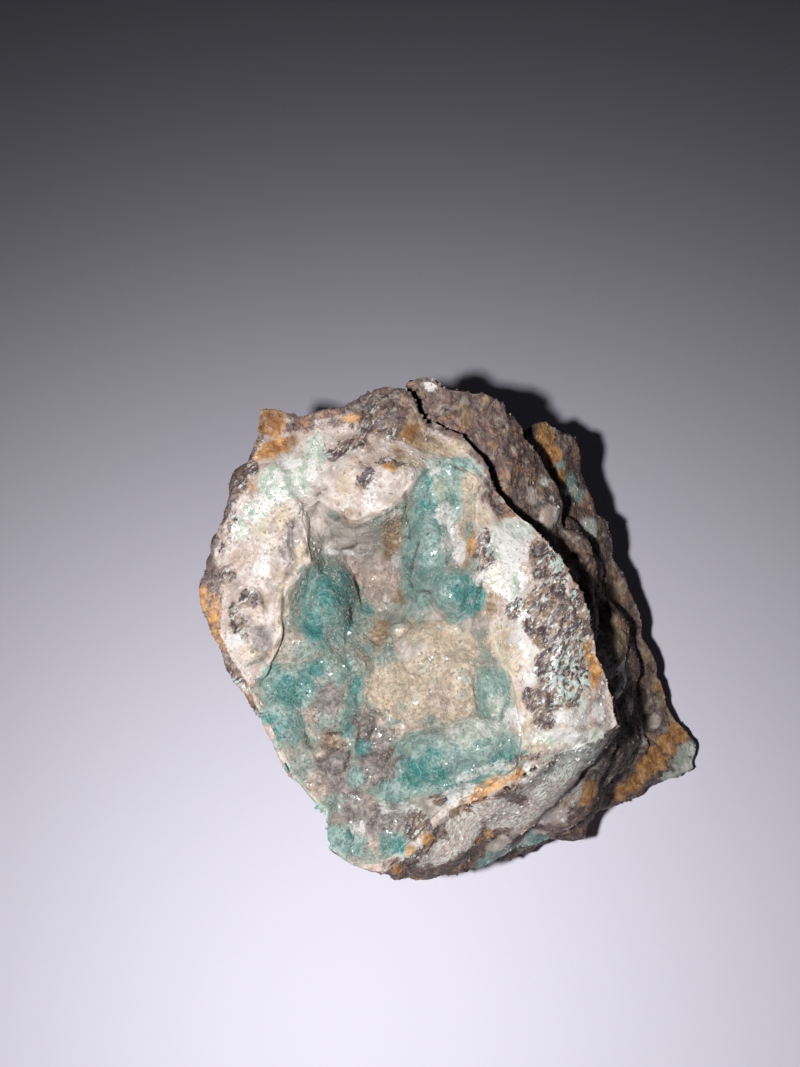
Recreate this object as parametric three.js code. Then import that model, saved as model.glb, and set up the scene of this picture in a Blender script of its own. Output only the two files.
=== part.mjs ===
// Aurichalcite nodule: a broken lump of limonite and calcite rock. Its front face is a sawn-looking
// break that opens into a hollow, and the hollow is lined with one crust of grown-together
// blue-green and tan lobes. Millimetres, +Z up, origin at the bottom centre of the part's box.

import * as THREE from "three";
import { mergeVertices } from "three/addons/utils/BufferGeometryUtils.js";

// ---------------------------------------------------------------- driving dimensions
const FACE_TILT_DEG = 25; // the break leans forward, so its lower edge is the nearer one
const FACE_CENTRE = [-11.6, -7.9, 38.95]; // where the hollow's axis meets the break
const BODY_CORE = [0, 2, 20]; // a point inside the rock that relief pushes away from
const HOLLOW_DEPTH = 3.8; // of the rock under the crust, near the hollow's edge
// Rounded basins that deepen the hollow: centre a, b on the break, half sizes, depth.
const BASINS = [
  [3, -2, 9.5, 11, 3], // the broad one
  [-1.5, 8.8, 4.8, 5.6, 8.5], // the pocket at the upper left
];
const HOLLOW_SIDE = 1.7; // upright step of the rock at the hollow's edge
const HOLLOW_POWER = 10; // how abruptly the hollow's floor rises to that step
const SEAT_GAP = 0.35; // clearance between the crust and the rock that backs it
const CRUST_MIN = 1; // thinnest crust
const CRUST_LIP = 0.3; // how far the crust's edge stays below the rim
const DOME_POWER = 2.5; // a lobe falls off with this power of the way to its foot
const RELIEF_WAVES = 7;
const LONGEST_WAVE = 21;
const WAVE_STEP = 1.32; // each wave is this much shorter than the last
const RELIEF_HEIGHT = 0.75; // amplitude of the longest wave on the walls
const RIM_RELIEF = 0.4; // share of that relief on the break
const CRUST_RELIEF = 0.3; // and on the crust
const EDGE_CALM = 0.3; // share of the relief on the walls just under the break
const FULL_RELIEF_AT = 1.6; // profile steps below the break where the relief is whole
const FOOT_CALM = 6; // height over the foot where the relief is whole

// ---------------------------------------------------------------- facets
const COLUMNS = 80;
const HOLLOW_ROWS = 10;
const RIM_ROWS = 5;
const WALL_ROWS = [3, 4, 2, 3, 4];
const FOOT_ROWS = 3;
const CRUST_FRONT_ROWS = 15;

// Edge of the crust on the break: degrees round the hollow's axis, distance from it.
const CRUST_EDGE = [
  [1, 10.9], [13, 10.5], [29, 11], [45, 13.2], [56, 16], [62, 19.6], [72, 20.6], [78, 18],
  [83, 15.3], [90, 13.9], [104, 13.7], [109, 15.4], [113, 17.3], [119, 16.9], [124, 13.8],
  [128, 12], [138, 11.6], [151, 11.2], [165, 10.4], [175, 10.7], [185, 11.7], [193, 13.3],
  [207, 12.5], [214, 12.6], [227, 13.4], [243, 14.7], [250, 15.2], [253, 17.7], [261, 19.2],
  [270, 18.9], [280, 16.9], [287, 15.6], [295, 14.9], [309, 15.5], [321, 16.2], [331, 14.9],
  [341, 13.3], [351, 12.4],
];

// Edge of the break itself: degrees, distance, height above the face plane.
const BREAK_EDGE = [
  [0, 20.6, 0], [12, 20.1, 0], [21, 19.8, 0], [33, 19.6, 0], [48, 19.3, 0], [56, 19.8, 0],
  [63, 21.6, 0], [68, 22.8, 0], [73, 23.6, 0], [80, 23.8, 0.2], [84, 26.2, 0.4], [90, 27, 0.3],
  [99, 25.1, 0], [109, 25.1, 0], [113, 26.8, -0.6], [117, 27.8, -0.9], [120, 25.6, 0],
  [129, 22.6, 0], [137, 21.2, 0], [151, 19.6, -0.2], [160, 19.3, -0.6], [168, 17.8, -0.6],
  [177, 15.9, -0.8], [187, 14.7, -1.2], [194, 13.8, -2], [207, 12.9, -2.2], [227, 13.8, -2.2],
  [243, 15.2, -2.2], [251, 16.2, -2.2], [255, 18.9, -2], [262, 19.6, -1.6], [270, 19.6, -0.8],
  [280, 17.7, -0.2], [287, 16.3, 0], [295, 15.6, 0], [309, 16.3, 0], [321, 17.1, 0],
  [330, 18.2, 0], [337, 21, -0.2], [344, 23.2, -0.4],
];

// Profiles of the walls, from just under the break down to the foot: degrees, then four points
// and the foot's two. Right of the break, from 345 round to 82 degrees, they step out as ledges.
const WALL_PROFILES = [
  [0, [10.5, -5.5, 25], [17.2, 2.2, 17.5], [20.6, 2, 10.5], [24.8, 2.3, 9], [25.6, 2]],
  [15, [9, -1, 28], [13, 7, 26], [16.8, 9, 17], [19.3, 10.3, 16], [21.2, 10]],
  [30, [7.5, 3, 31], [9.6, 11.5, 33.5], [12.5, 13.6, 24.5], [15.2, 18, 23.8], [18, 16]],
  [45, [4, 6, 36], [5.6, 15, 39], [7.4, 16, 30.5], [12.3, 23.9, 30], [14, 20]],
  [60, [0, 10, 41], [1.2, 18.8, 47.6], [3.6, 20, 35.5], [8, 25, 35], [8, 23]],
  [68, [-2.4, 11.6, 43.3], [-2.4, 17.8, 48], [0.6, 21.9, 34.7], [3.7, 25.3, 26.5], [4.3, 23.8]],
  [75, [-5, 13, 45.3], [-5.8, 18, 48.8], [-3, 23.5, 34], [0, 25.5, 20], [0.5, 24.5]],
  [82, [-8, 16, 45.5], [-9.2, 18.9, 47.8], [-6.5, 24.5, 34], [-3.5, 25.5, 17], [-2.5, 24.5]],
  [90, [-11, 20, 45], [-10.5, 22.5, 36], [-9, 24.5, 24], [-7, 25, 12], [-5.5, 24.5]],
  [120, [-24.5, 16, 41], [-23.5, 18.5, 32], [-20.5, 20.5, 21], [-17.5, 21.5, 10], [-15.5, 21.5]],
  [150, [-29, 5, 38], [-28, 8, 29], [-25.5, 11.5, 18], [-23.5, 13.5, 9], [-22, 14.5]],
  [180, [-27.5, -4, 34], [-26.5, 0, 26], [-25, 3, 17], [-24, 5.5, 8], [-23, 6.5]],
  [205, [-22.6, -9.6, 31.5], [-22.6, -6.8, 23], [-22, -4.5, 14], [-21.5, -2.5, 7], [-21, -1]],
  [225, [-19.2, -13.2, 29], [-19.4, -11.4, 21.5], [-19, -8.4, 13.5], [-18.8, -6, 6.5], [-18.6, -4.5]],
  [243, [-17.6, -18, 28], [-17.4, -15.8, 21], [-17.2, -12.5, 13], [-17.2, -10, 6], [-17.2, -8.5]],
  [270, [-10, -25.5, 28], [-10, -23, 21], [-10.3, -19.5, 13], [-10.7, -16.5, 6], [-11, -14.5]],
  [285, [-4.7, -24.4, 24.6], [-4.2, -22, 18], [-3.8, -19, 11], [-3.3, -16.8, 5], [-3, -15.5]],
  [300, [3.8, -22.3, 19], [4.3, -20, 14], [4.8, -17.5, 9], [5.3, -16, 5], [5.5, -15]],
  [315, [10.6, -18.5, 14.4], [11.5, -16.5, 11], [13, -15.2, 7.5], [15.5, -13.5, 5], [16, -12.5]],
  [330, [11.5, -15, 21.5], [13.5, -13, 11], [18.5, -11.1, 6.5], [24.5, -8.5, 3.2], [24.4, -8.3]],
  [345, [13.2, -11, 23], [20.6, -4.7, 11], [22.5, -4.9, 6], [28.7, -6.4, 3.6], [28.4, -6.2]],
];
const FOOT_CENTRE = [3, 4];
const FOOT_INSET = 0.93; // the foot is this much of its outline, so the lowest wall slants in

// Lumps and pits on the break: centre a, b, half sizes a, b, height above the face plane.
const RIM_LUMPS = [
  [-2.2, 17.6, 4.2, 3.2, 2.2], // calcite ledge that hangs over the pocket
  [2, 16.8, 2.2, 2, 1.4],
  [-1.2, 24.2, 3.6, 2.6, 1.3], // dark crusted block at the top
  [-11.2, 25, 2, 1.4, 0.8], // orange nub at the top left
  [-8.5, 18, 2.6, 2.6, 0.7],
  [-12.4, 12.5, 2.6, 3, 0.8],
  [-13.6, 4, 2.2, 2.6, 0.8],
  [16.5, 3.6, 3.6, 4, 1.5], // dark crust along the right edge
  [16.4, -4.6, 3, 3.6, 1.7],
  [12, 9.5, 2.6, 3.2, 0.7],
  [13.4, 1.2, 1.6, 4.5, -0.9], // groove inside it
  [18.2, -7.4, 1.8, 1.4, 0.8], // lumps near the lower right corner
  [20, -4.2, 1.2, 2, 0.5],
  [14.8, -8.6, 1.8, 1, 0.5],
];

// Lumps on the walls and ledges: centre x, y, z, radius, height.
const WALL_LUMPS = [
  [-6.5, 17.5, 49, 2.2, 1],
  [6.5, 9.5, 37, 3, 1.6], // pale slab beside the break
  [14.5, 3.5, 22, 4, 0.6], // slab in the gap
  [17, 16, 25, 4, 1.8],
  [19, 9.5, 16, 3.5, 0.8],
  [27, -4.5, 5, 3.6, 1.4], // corner nearest the right
  [-28, 6, 28, 5, 0.9], // knobs and hollows of the walls away from the ledges
  [-25, 13, 20, 4, -1.6],
  [-23, -4, 13, 6, 1],
  [-20, -13, 22, 4.5, -1.5],
  [-12, -20, 14, 5.5, 1],
  [-2, -20, 9, 4, -1.2],
  [6, -18.5, 12, 4, 1.4],
  [-20, 21, 26, 5, 1.8],
  [-8, 25, 16, 6, 2],
  [-6, 24, 33, 4, -1.6],
  [6, 25, 12, 5, -1.4],
  [12, 23, 20, 5, 1.6],
  [7, -16, 30, 3.4, 1.5], // rounded shoulder in front of the break
  [1.5, -19, 29.5, 3.2, 1.2],
  [-4, -21.5, 29.5, 2.6, 0.9],
];

// Lobes of the crust: centre a, b, half sizes a, b, turn in degrees, height of the top over the
// face plane, drop from the top to the lobe's foot.
const LOBES = [
  [-5.8, 5.3, 2.7, 4.7, -8, -1, 8], // the thumb-shaped lobe
  [-8.4, 0.4, 3.4, 3.2, 0, -1.6, 3],
  [-5.6, -1.8, 2.8, 2.6, 0, -2.1, 3],
  [-2.7, -1.1, 2, 2.4, 0, -3.6, 3],
  [-5.3, -5.6, 2.6, 2.8, 0, -1.9, 3],
  [-9.7, -6.6, 2.4, 3.8, 25, -1.5, 3],
  [-4.6, -10.2, 1.4, 1.4, 0, -1.5, 3],
  [-6.2, -9.4, 1.2, 1.2, 0, -1.6, 3],
  [-2.3, -6.9, 1.4, 1.5, 0, -2.1, 3],
  [-1.5, -11.3, 3.6, 2.5, 0, -2.1, 3],
  [-6.6, -12.2, 2.2, 2, 30, -1.8, 2.5],
  [4, -0.5, 4.4, 4.4, 0, -2.9, 4], // the tan mass in the middle, three swells
  [7.6, -3, 3.6, 4.2, 0, -2.2, 4],
  [3.2, -4.6, 4, 3.2, 0, -3.1, 4],
  [1.3, 2.9, 1.7, 1.8, 0, -4.4, 4],
  [5.2, 16.2, 3.2, 4.2, -8, -1.1, 5], // the tall green band, in three swells
  [4.7, 11.2, 3.1, 4.4, 4, -1.3, 5],
  [7, 6.8, 3.6, 3.8, 25, -1.6, 5],
  [10.6, -3.5, 2.1, 3.1, 20, -0.9, 4],
  [9.6, -8.3, 4.4, 3.2, 14, -1, 4], // the wide green lobe, in two swells
  [5, -10, 4.4, 3.3, 12, -1.3, 4],
  [0.6, -15.6, 4.2, 3, 0, -1.4, 4],
  [-3.8, -17, 2.4, 2.4, 0, -1, 3],
  [-6.8, 13.8, 1.9, 2.2, 0, -3.4, 6],
  [-3.1, 11.3, 2.4, 2.1, 0, -8.6, 3],
  [-0.3, 6.3, 2.2, 2.2, 0, -9.4, 3],
  [1.3, 12, 1.6, 2.4, 0, -5.6, 6],
];

// ---------------------------------------------------------------- frame of the break
const tilt = THREE.MathUtils.degToRad(FACE_TILT_DEG);
const faceFrame = new THREE.Matrix4()
  .makeRotationX(tilt)
  .setPosition(...FACE_CENTRE);

// A point of the break's own frame: a to the right, b up the slope, n out of the rock.
const onFace = (a, b, n) => new THREE.Vector3(a, b, n).applyMatrix4(faceFrame);

// ---------------------------------------------------------------- curves round the hollow's axis
// Values of a list [degrees, value, ...] at an angle, straight between its entries and round.
function around(list, degrees) {
  const next = list.findIndex((entry) => entry[0] > degrees);
  const high = list[next < 0 ? 0 : next];
  const low = list[(next < 0 ? list.length : next || list.length) - 1];
  const span = THREE.MathUtils.euclideanModulo(high[0] - low[0], 360);
  const share = THREE.MathUtils.euclideanModulo(degrees - low[0], 360) / span;
  return low.slice(1).map((value, i) => mixed(value, high[i + 1], share));
}

// Straight mix of two numbers or of two points.
function mixed(from, to, share) {
  if (typeof from === "number") return THREE.MathUtils.lerp(from, to, share);
  return from.map((value, i) => THREE.MathUtils.lerp(value, to[i], share));
}

// Heights: how far the rock's and the crust's edges lie below the face plane.
const rimHeight = (degrees) => Math.min(0, around(BREAK_EDGE, degrees)[1]);

// ---------------------------------------------------------------- relief
// Sum of plane waves, each shorter, lower and turned from the last. Every other one has sharp
// valleys in place of round ones, so that the swells part along creases.
function relief(point) {
  let height = 0;
  for (let i = 0; i < RELIEF_WAVES; i++) {
    const direction = new THREE.Vector3(Math.cos(2.4 * i), Math.sin(2.4 * i), Math.cos(1.7 * i));
    const wave = LONGEST_WAVE / WAVE_STEP ** i;
    const phase = (2 * Math.PI * direction.normalize().dot(point)) / wave + 1.3 * i;
    const shape = i % 2 ? 2 * Math.abs(Math.sin(phase / 2)) - 1 : Math.sin(phase);
    height += (RELIEF_HEIGHT / WAVE_STEP ** (0.6 * i)) * shape;
  }
  return height;
}

// Sum of bell-shaped lumps [centre a, b, half size a, b, height] at a place on the break.
function bells(list, a, b) {
  let height = 0;
  for (const [ca, cb, halfA, halfB, top] of list)
    height += top * Math.exp(-(((a - ca) / halfA) ** 2) - ((b - cb) / halfB) ** 2);
  return height;
}

// Height of the break over the face plane: bell-shaped lumps on the low relief.
const breakHeight = (a, b) => RIM_RELIEF * relief(onFace(a, b, 0)) + bells(RIM_LUMPS, a, b);

// A wall point pushed away from the rock's core by relief and lumps, and not below the foot.
function weathered(point, share) {
  let push = share * relief(point);
  for (const [x, y, z, radius, height] of WALL_LUMPS) {
    const distance = point.distanceTo(new THREE.Vector3(x, y, z));
    push += share * height * Math.exp(-((distance / radius) ** 2));
  }
  const away = point.clone().sub(new THREE.Vector3(...BODY_CORE)).normalize();
  return point.clone().addScaledVector(away, push);
}

// ---------------------------------------------------------------- hollow and crust
// Share of the way from the hollow's axis to its edge, for a row of its floor: closer near the edge.
const floorShare = (row) => 1 - (1 - row / HOLLOW_ROWS) ** 1.3;

// Floor of the rock's hollow: level, with a deeper pocket, and rising to the step at its edge.
function floorHeight(degrees, share, a, b) {
  const deep = -HOLLOW_DEPTH - bells(BASINS, a, b);
  return THREE.MathUtils.lerp(deep, rimHeight(degrees) - HOLLOW_SIDE, share ** HOLLOW_POWER);
}

// Top of the crust's lobes over one point: flat-topped domes, the highest one counts.
function lobeHeight(a, b) {
  let height = -Infinity;
  for (const [ca, cb, halfA, halfB, turn, top, drop] of LOBES) {
    const angle = THREE.MathUtils.degToRad(turn);
    const u = ((a - ca) * Math.cos(angle) + (b - cb) * Math.sin(angle)) / halfA;
    const v = ((b - cb) * Math.cos(angle) - (a - ca) * Math.sin(angle)) / halfB;
    height = Math.max(height, top - drop * Math.hypot(u, v) ** DOME_POWER);
  }
  return height;
}

// ---------------------------------------------------------------- surfaces
// A closed surface: a sphere's grid whose point in column i, row j goes to place(degrees, j).
function skin(rows, place) {
  const sphere = new THREE.SphereGeometry(1, COLUMNS, rows);
  const position = sphere.getAttribute("position");
  for (let j = 0; j <= rows; j++)
    for (let i = 0; i <= COLUMNS; i++) {
      const degrees = (360 * (i % COLUMNS)) / COLUMNS;
      position.setXYZ(j * (COLUMNS + 1) + i, ...place(degrees, j).toArray());
    }
  sphere.deleteAttribute("normal");
  sphere.deleteAttribute("uv");
  return mergeVertices(sphere, 1e-3);
}

// Place on the break, at an angle and a distance from the hollow's axis.
function polar(degrees, distance) {
  const angle = THREE.MathUtils.degToRad(degrees);
  return [distance * Math.cos(angle), distance * Math.sin(angle)];
}

// Rock, row by row: floor of the hollow, rim of the break, walls with their ledges, foot.
function rockPoint(degrees, row) {
  const inner = around(CRUST_EDGE, degrees)[0];
  if (row <= HOLLOW_ROWS) {
    const share = floorShare(row);
    const [a, b] = polar(degrees, inner * share);
    return onFace(a, b, floorHeight(degrees, share, a, b));
  }
  const [outer, edgeHeight] = around(BREAK_EDGE, degrees);
  if (row <= HOLLOW_ROWS + 1 + RIM_ROWS) {
    const share = (row - HOLLOW_ROWS - 1) / RIM_ROWS;
    const [a, b] = polar(degrees, THREE.MathUtils.lerp(inner, outer, share));
    const rim = THREE.MathUtils.lerp(rimHeight(degrees), edgeHeight, share);
    return onFace(a, b, rim + breakHeight(a, b));
  }
  const [edgeA, edgeB] = polar(degrees, outer);
  const edge = onFace(edgeA, edgeB, edgeHeight + breakHeight(edgeA, edgeB)).toArray();
  const profile = around(WALL_PROFILES, degrees);
  const foot = [...mixed(FOOT_CENTRE, profile.pop(), FOOT_INSET), 0];
  const stops = [edge, ...profile, foot];
  let step = row - HOLLOW_ROWS - 1 - RIM_ROWS;
  for (let k = 0; k < WALL_ROWS.length; k++) {
    if (step <= WALL_ROWS[k]) {
      const point = new THREE.Vector3(...mixed(stops[k], stops[k + 1], step / WALL_ROWS[k]));
      const belowBreak = (k + step / WALL_ROWS[k]) / FULL_RELIEF_AT;
      return weathered(point, Math.min(1, point.z / FOOT_CALM, EDGE_CALM + belowBreak));
    }
    step -= WALL_ROWS[k];
  }
  return new THREE.Vector3(...mixed(foot, [...FOOT_CENTRE, 0], step / FOOT_ROWS));
}

// Crust, row by row: lobes from the middle out, then the back that follows the hollow's floor.
function crustPoint(degrees, row) {
  const reach = around(CRUST_EDGE, degrees)[0] - SEAT_GAP;
  if (row > CRUST_FRONT_ROWS) {
    const share = floorShare(CRUST_FRONT_ROWS + 1 + HOLLOW_ROWS - row);
    const [a, b] = polar(degrees, reach * share);
    return onFace(a, b, floorHeight(degrees, share, a, b) + SEAT_GAP);
  }
  const share = (row / CRUST_FRONT_ROWS) ** 0.75;
  const [a, b] = polar(degrees, reach * share);
  const thinnest = floorHeight(degrees, share, a, b) + SEAT_GAP + CRUST_MIN;
  const top = Math.max(lobeHeight(a, b) + CRUST_RELIEF * relief(onFace(a, b, 0)), thinnest);
  const edge = rimHeight(degrees) * 0.45 - CRUST_LIP;
  return onFace(a, b, THREE.MathUtils.lerp(top, edge, share ** 16));
}

// ---------------------------------------------------------------- materials
const rock = new THREE.MeshStandardMaterial({ color: 0x9c8578, roughness: 0.85, metalness: 0 });
const druse = new THREE.MeshStandardMaterial({ color: 0x7fb5a2, roughness: 0.4, metalness: 0 });

function piece(name, geometry, material) {
  const mesh = new THREE.Mesh(geometry, material);
  mesh.name = name;
  return mesh;
}

// ---------------------------------------------------------------- assembly
const wallRows = WALL_ROWS.reduce((sum, n) => sum + n);
const rockRows = HOLLOW_ROWS + 1 + RIM_ROWS + wallRows + FOOT_ROWS;
const crustRows = CRUST_FRONT_ROWS + 1 + HOLLOW_ROWS;
const nodule = new THREE.Group();
nodule.add(piece("matrix", skin(rockRows, rockPoint), rock));
nodule.add(piece("crystal_crust", skin(crustRows, crustPoint), druse));

// The modelling frame's origin lies inside the foot; the part's is the bottom centre of its box.
const box = new THREE.Box3().setFromObject(nodule);
const centre = box.getCenter(new THREE.Vector3());
nodule.position.set(-centre.x, -centre.y, -box.min.z);

export default nodule;
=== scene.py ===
import math

import bpy
import numpy as np
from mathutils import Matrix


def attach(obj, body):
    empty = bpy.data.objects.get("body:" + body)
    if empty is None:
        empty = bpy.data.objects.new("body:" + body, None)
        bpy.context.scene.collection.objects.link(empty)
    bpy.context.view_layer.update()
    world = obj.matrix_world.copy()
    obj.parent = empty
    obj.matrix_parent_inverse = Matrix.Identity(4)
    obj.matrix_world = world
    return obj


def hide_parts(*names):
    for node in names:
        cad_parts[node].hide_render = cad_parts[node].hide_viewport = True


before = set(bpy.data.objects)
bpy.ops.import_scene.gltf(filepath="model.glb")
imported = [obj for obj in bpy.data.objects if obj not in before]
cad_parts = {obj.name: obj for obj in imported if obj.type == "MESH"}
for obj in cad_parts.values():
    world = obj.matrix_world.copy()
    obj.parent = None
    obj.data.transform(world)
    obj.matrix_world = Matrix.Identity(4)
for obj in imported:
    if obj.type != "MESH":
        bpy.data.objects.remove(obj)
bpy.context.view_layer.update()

bl_info = {
    "name": "Druse nodule",
    "version": (1, 0, 0),
    "blender": (4, 5, 0),
    "location": "3D View > Sidebar > Nodule",
    "description": "Builds a broken rock nodule with a hollow lined by blue-green druse",
    "category": "Add Mesh",
}

MM = 0.001

# ---------------------------------------------------------------- the stone's form, in millimetres
FACE_TILT = math.radians(25)  # the break leans forward
FACE_CENTRE = (-11.6, -7.9, 38.95)  # where the hollow's axis meets the break
BODY_CORE = (0, 2, 20)  # relief pushes away from here
PART_SHIFT = (0.6540, -1.4283, 0)  # from this modelling frame to the part's own
HOLLOW_DEPTH = 3.8  # of the rock under the crust, near the hollow's edge
BASINS = [(3, -2, 9.5, 11, 3), (-1.5, 8.8, 4.8, 5.6, 8.5)]  # centre a, b, half sizes, depth
HOLLOW_SIDE = 1.7  # upright step of the rock at the hollow's edge
HOLLOW_POWER = 10  # how abruptly the hollow's floor rises to that step
SEAT_GAP = 0.35  # from the crust's back to the rock
CRUST_MIN = 1  # thinnest crust
CRUST_LIP = 0.3  # how far the crust's edge stays below the rim
CRUST_OVERLAP = 0.5  # how far the crust's edge runs on into the rock
EDGE_DROP = 0.45  # share of the rim's fall that the crust's edge follows
EDGE_POWER = 16  # how abruptly the crust falls to its edge
DOME_POWER = 2.5  # a lobe falls off with this power of the way to its foot
LOBE_MELT = 0.5  # height over which lobes blend
RELIEF_WAVES = 7
LONGEST_WAVE = 21
WAVE_STEP = 1.32  # each wave is this much shorter than the last
WAVE_FALL = 0.6  # and lower by this power of that
WAVE_TURN, WAVE_CLIMB, WAVE_PHASE = 2.4, 1.7, 1.3  # radians from each wave to the next
RELIEF_HEIGHT = 0.75  # of the longest wave on the walls
RIM_RELIEF = 0.4  # share of that relief on the break
CRUST_RELIEF = 0.3  # and on the crust
EDGE_CALM = 0.3  # share of the relief on the walls just under the break
FULL_RELIEF_AT = 1.6  # profile steps below the break where the relief is whole
FOOT_CALM = 6  # height over the foot where the relief is whole
FOOT_CENTRE = (3, 4)
FOOT_INSET = 0.93  # the foot is this much of its outline, so the lowest wall slants in
FOOT_PLACE = 7  # the place that the foot's rings are given
LIP_KNOB = 2.4  # width of the knobs that scallop the lip of the break
LIP_REACH = 0.9  # how far that lip reaches over the crust at most

# Sectors round the hollow's axis, in degrees: middle, whole up to this far from it, gone at this far.
LIP_SECTOR = (150, 60, 75)
KNOB_SECTOR = (165, 38, 50)
RIND_SECTOR = (127.5, 62.5, 77.5)
FRONT_SECTOR = (232, 15, 40)
UNDERCUT_SECTOR = (27.5, 50, 75)

# ---------------------------------------------------------------- blocks and grains, in millimetres
ROCK_BLOCK, ROCK_RIB = 4.6, 1.3
SUGAR, CALCITE_LUMP = 0.5, 2
DARK_KNOB, DARK_STREAK = 1.1, 0.6
CRUST_SWELL, CRUST_RIDGE, POCKET_BLOCK = 3.2, 0.85, 2.5
GRAIN_HALVES, GRAIN_LEAN, GRAIN_SUNK = (0.1, 0.28), 0.6, 0.35
DRUSE_HALVES, DRUSE_LEAN, DRUSE_SUNK = (0.08, 0.25), 0.48, 0.45

# ---------------------------------------------------------------- rows of the grids
FLOOR_SHARES = 1 - (1 - np.linspace(0, 1, 11)) ** 1.3  # closer together towards the hollow's edge
RIM_ROWS = 58
WALL_ROWS = (22, 26, 9, 13, 10)
CRUST_ROWS = 142

# ---------------------------------------------------------------- the view, in millimetres
EYE = (-10, -44, 111)
EYE_TILT = 35  # degrees from straight down
LENS = 28  # on a frame 36 wide
FLASH_PLACE = (-22, -46, 111)
FLASH_TARGET = (-6, 0, 20)
FLASH_SIZE = 3
FLASH_WATTS = 0.135
ROOM_LIGHT = 0.012
TABLE_HALF = 1200

# Edge of the crust on the break: degrees round the hollow's axis, distance from it.
CRUST_EDGE = [
    (1, 10.9), (13, 10.5), (29, 11), (45, 13.2), (56, 16), (62, 19.6), (72, 20.6), (78, 18),
    (83, 15.3), (90, 13.9), (104, 13.7), (109, 15.4), (113, 17.3), (119, 16.9), (124, 13.8),
    (128, 12), (138, 11.6), (151, 11.2), (165, 10.4), (175, 10.7), (185, 11.7), (193, 13.3),
    (207, 12.5), (214, 12.6), (227, 13.4), (243, 14.7), (250, 15.2), (253, 17.7), (261, 19.2),
    (270, 18.9), (280, 16.9), (287, 15.6), (295, 14.9), (309, 15.5), (321, 16.2), (331, 14.9),
    (341, 13.3), (351, 12.4),
]

# Edge of the break: degrees, distance, height above the face plane.
BREAK_EDGE = [
    (0, 20.6, 0), (12, 20.1, 0), (21, 19.8, 0), (33, 19.6, 0), (48, 19.3, 0), (56, 19.8, 0),
    (63, 21.6, 0), (68, 22.8, 0), (73, 23.6, 0), (80, 23.8, 0.2), (84, 26.2, 0.4), (90, 27, 0.3),
    (99, 25.1, 0), (109, 25.1, 0), (113, 26.8, -0.6), (117, 27.8, -0.9), (120, 25.6, 0),
    (129, 22.6, 0), (137, 21.2, 0), (151, 19.6, -0.2), (160, 19.3, -0.6), (168, 17.8, -0.6),
    (177, 15.9, -0.8), (187, 14.7, -1.2), (194, 13.8, -2), (207, 12.9, -2.2), (227, 13.8, -2.2),
    (243, 15.2, -2.2), (251, 16.2, -2.2), (255, 18.9, -2), (262, 19.6, -1.6), (270, 19.6, -0.8),
    (280, 17.7, -0.2), (287, 16.3, 0), (295, 15.6, 0), (309, 16.3, 0), (321, 17.1, 0),
    (330, 18.2, 0), (337, 21, -0.2), (344, 23.2, -0.4),
]

# Wall profiles: degrees, four points x, y, z from the break down, then the foot's x and y.
WALL_PROFILES = [
    (0, 10.5, -5.5, 25, 17.2, 2.2, 17.5, 20.6, 2, 10.5, 24.8, 2.3, 9, 25.6, 2),
    (15, 9, -1, 28, 13, 7, 26, 16.8, 9, 17, 19.3, 10.3, 16, 21.2, 10),
    (30, 7.5, 3, 31, 9.6, 11.5, 33.5, 12.5, 13.6, 24.5, 15.2, 18, 23.8, 18, 16),
    (45, 4, 6, 36, 5.6, 15, 39, 7.4, 16, 30.5, 12.3, 23.9, 30, 14, 20),
    (60, 0, 10, 41, 1.2, 18.8, 47.6, 3.6, 20, 35.5, 8, 25, 35, 8, 23),
    (68, -2.4, 11.6, 43.3, -2.4, 17.8, 48, 0.6, 21.9, 34.7, 3.7, 25.3, 26.5, 4.3, 23.8),
    (75, -5, 13, 45.3, -5.8, 18, 48.8, -3, 23.5, 34, 0, 25.5, 20, 0.5, 24.5),
    (82, -8, 16, 45.5, -9.2, 18.9, 47.8, -6.5, 24.5, 34, -3.5, 25.5, 17, -2.5, 24.5),
    (90, -11, 20, 45, -10.5, 22.5, 36, -9, 24.5, 24, -7, 25, 12, -5.5, 24.5),
    (120, -24.5, 16, 41, -23.5, 18.5, 32, -20.5, 20.5, 21, -17.5, 21.5, 10, -15.5, 21.5),
    (150, -29, 5, 38, -28, 8, 29, -25.5, 11.5, 18, -23.5, 13.5, 9, -22, 14.5),
    (180, -27.5, -4, 34, -26.5, 0, 26, -25, 3, 17, -24, 5.5, 8, -23, 6.5),
    (205, -22.6, -9.6, 31.5, -22.6, -6.8, 23, -22, -4.5, 14, -21.5, -2.5, 7, -21, -1),
    (225, -19.2, -13.2, 29, -19.4, -11.4, 21.5, -19, -8.4, 13.5, -18.8, -6, 6.5, -18.6, -4.5),
    (243, -17.6, -18, 28, -17.4, -15.8, 21, -17.2, -12.5, 13, -17.2, -10, 6, -17.2, -8.5),
    (270, -10, -25.5, 28, -10, -23, 21, -10.3, -19.5, 13, -10.7, -16.5, 6, -11, -14.5),
    (285, -4.7, -24.4, 24.6, -4.2, -22, 18, -3.8, -19, 11, -3.3, -16.8, 5, -3, -15.5),
    (300, 3.8, -22.3, 19, 4.3, -20, 14, 4.8, -17.5, 9, 5.3, -16, 5, 5.5, -15),
    (315, 10.6, -18.5, 14.4, 11.5, -16.5, 11, 13, -15.2, 7.5, 15.5, -13.5, 5, 16, -12.5),
    (330, 11.5, -15, 21.5, 13.5, -13, 11, 18.5, -11.1, 6.5, 24.5, -8.5, 3.2, 24.4, -8.3),
    (345, 13.2, -11, 23, 20.6, -4.7, 11, 22.5, -4.9, 6, 28.7, -6.4, 3.6, 28.4, -6.2),
]

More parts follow.
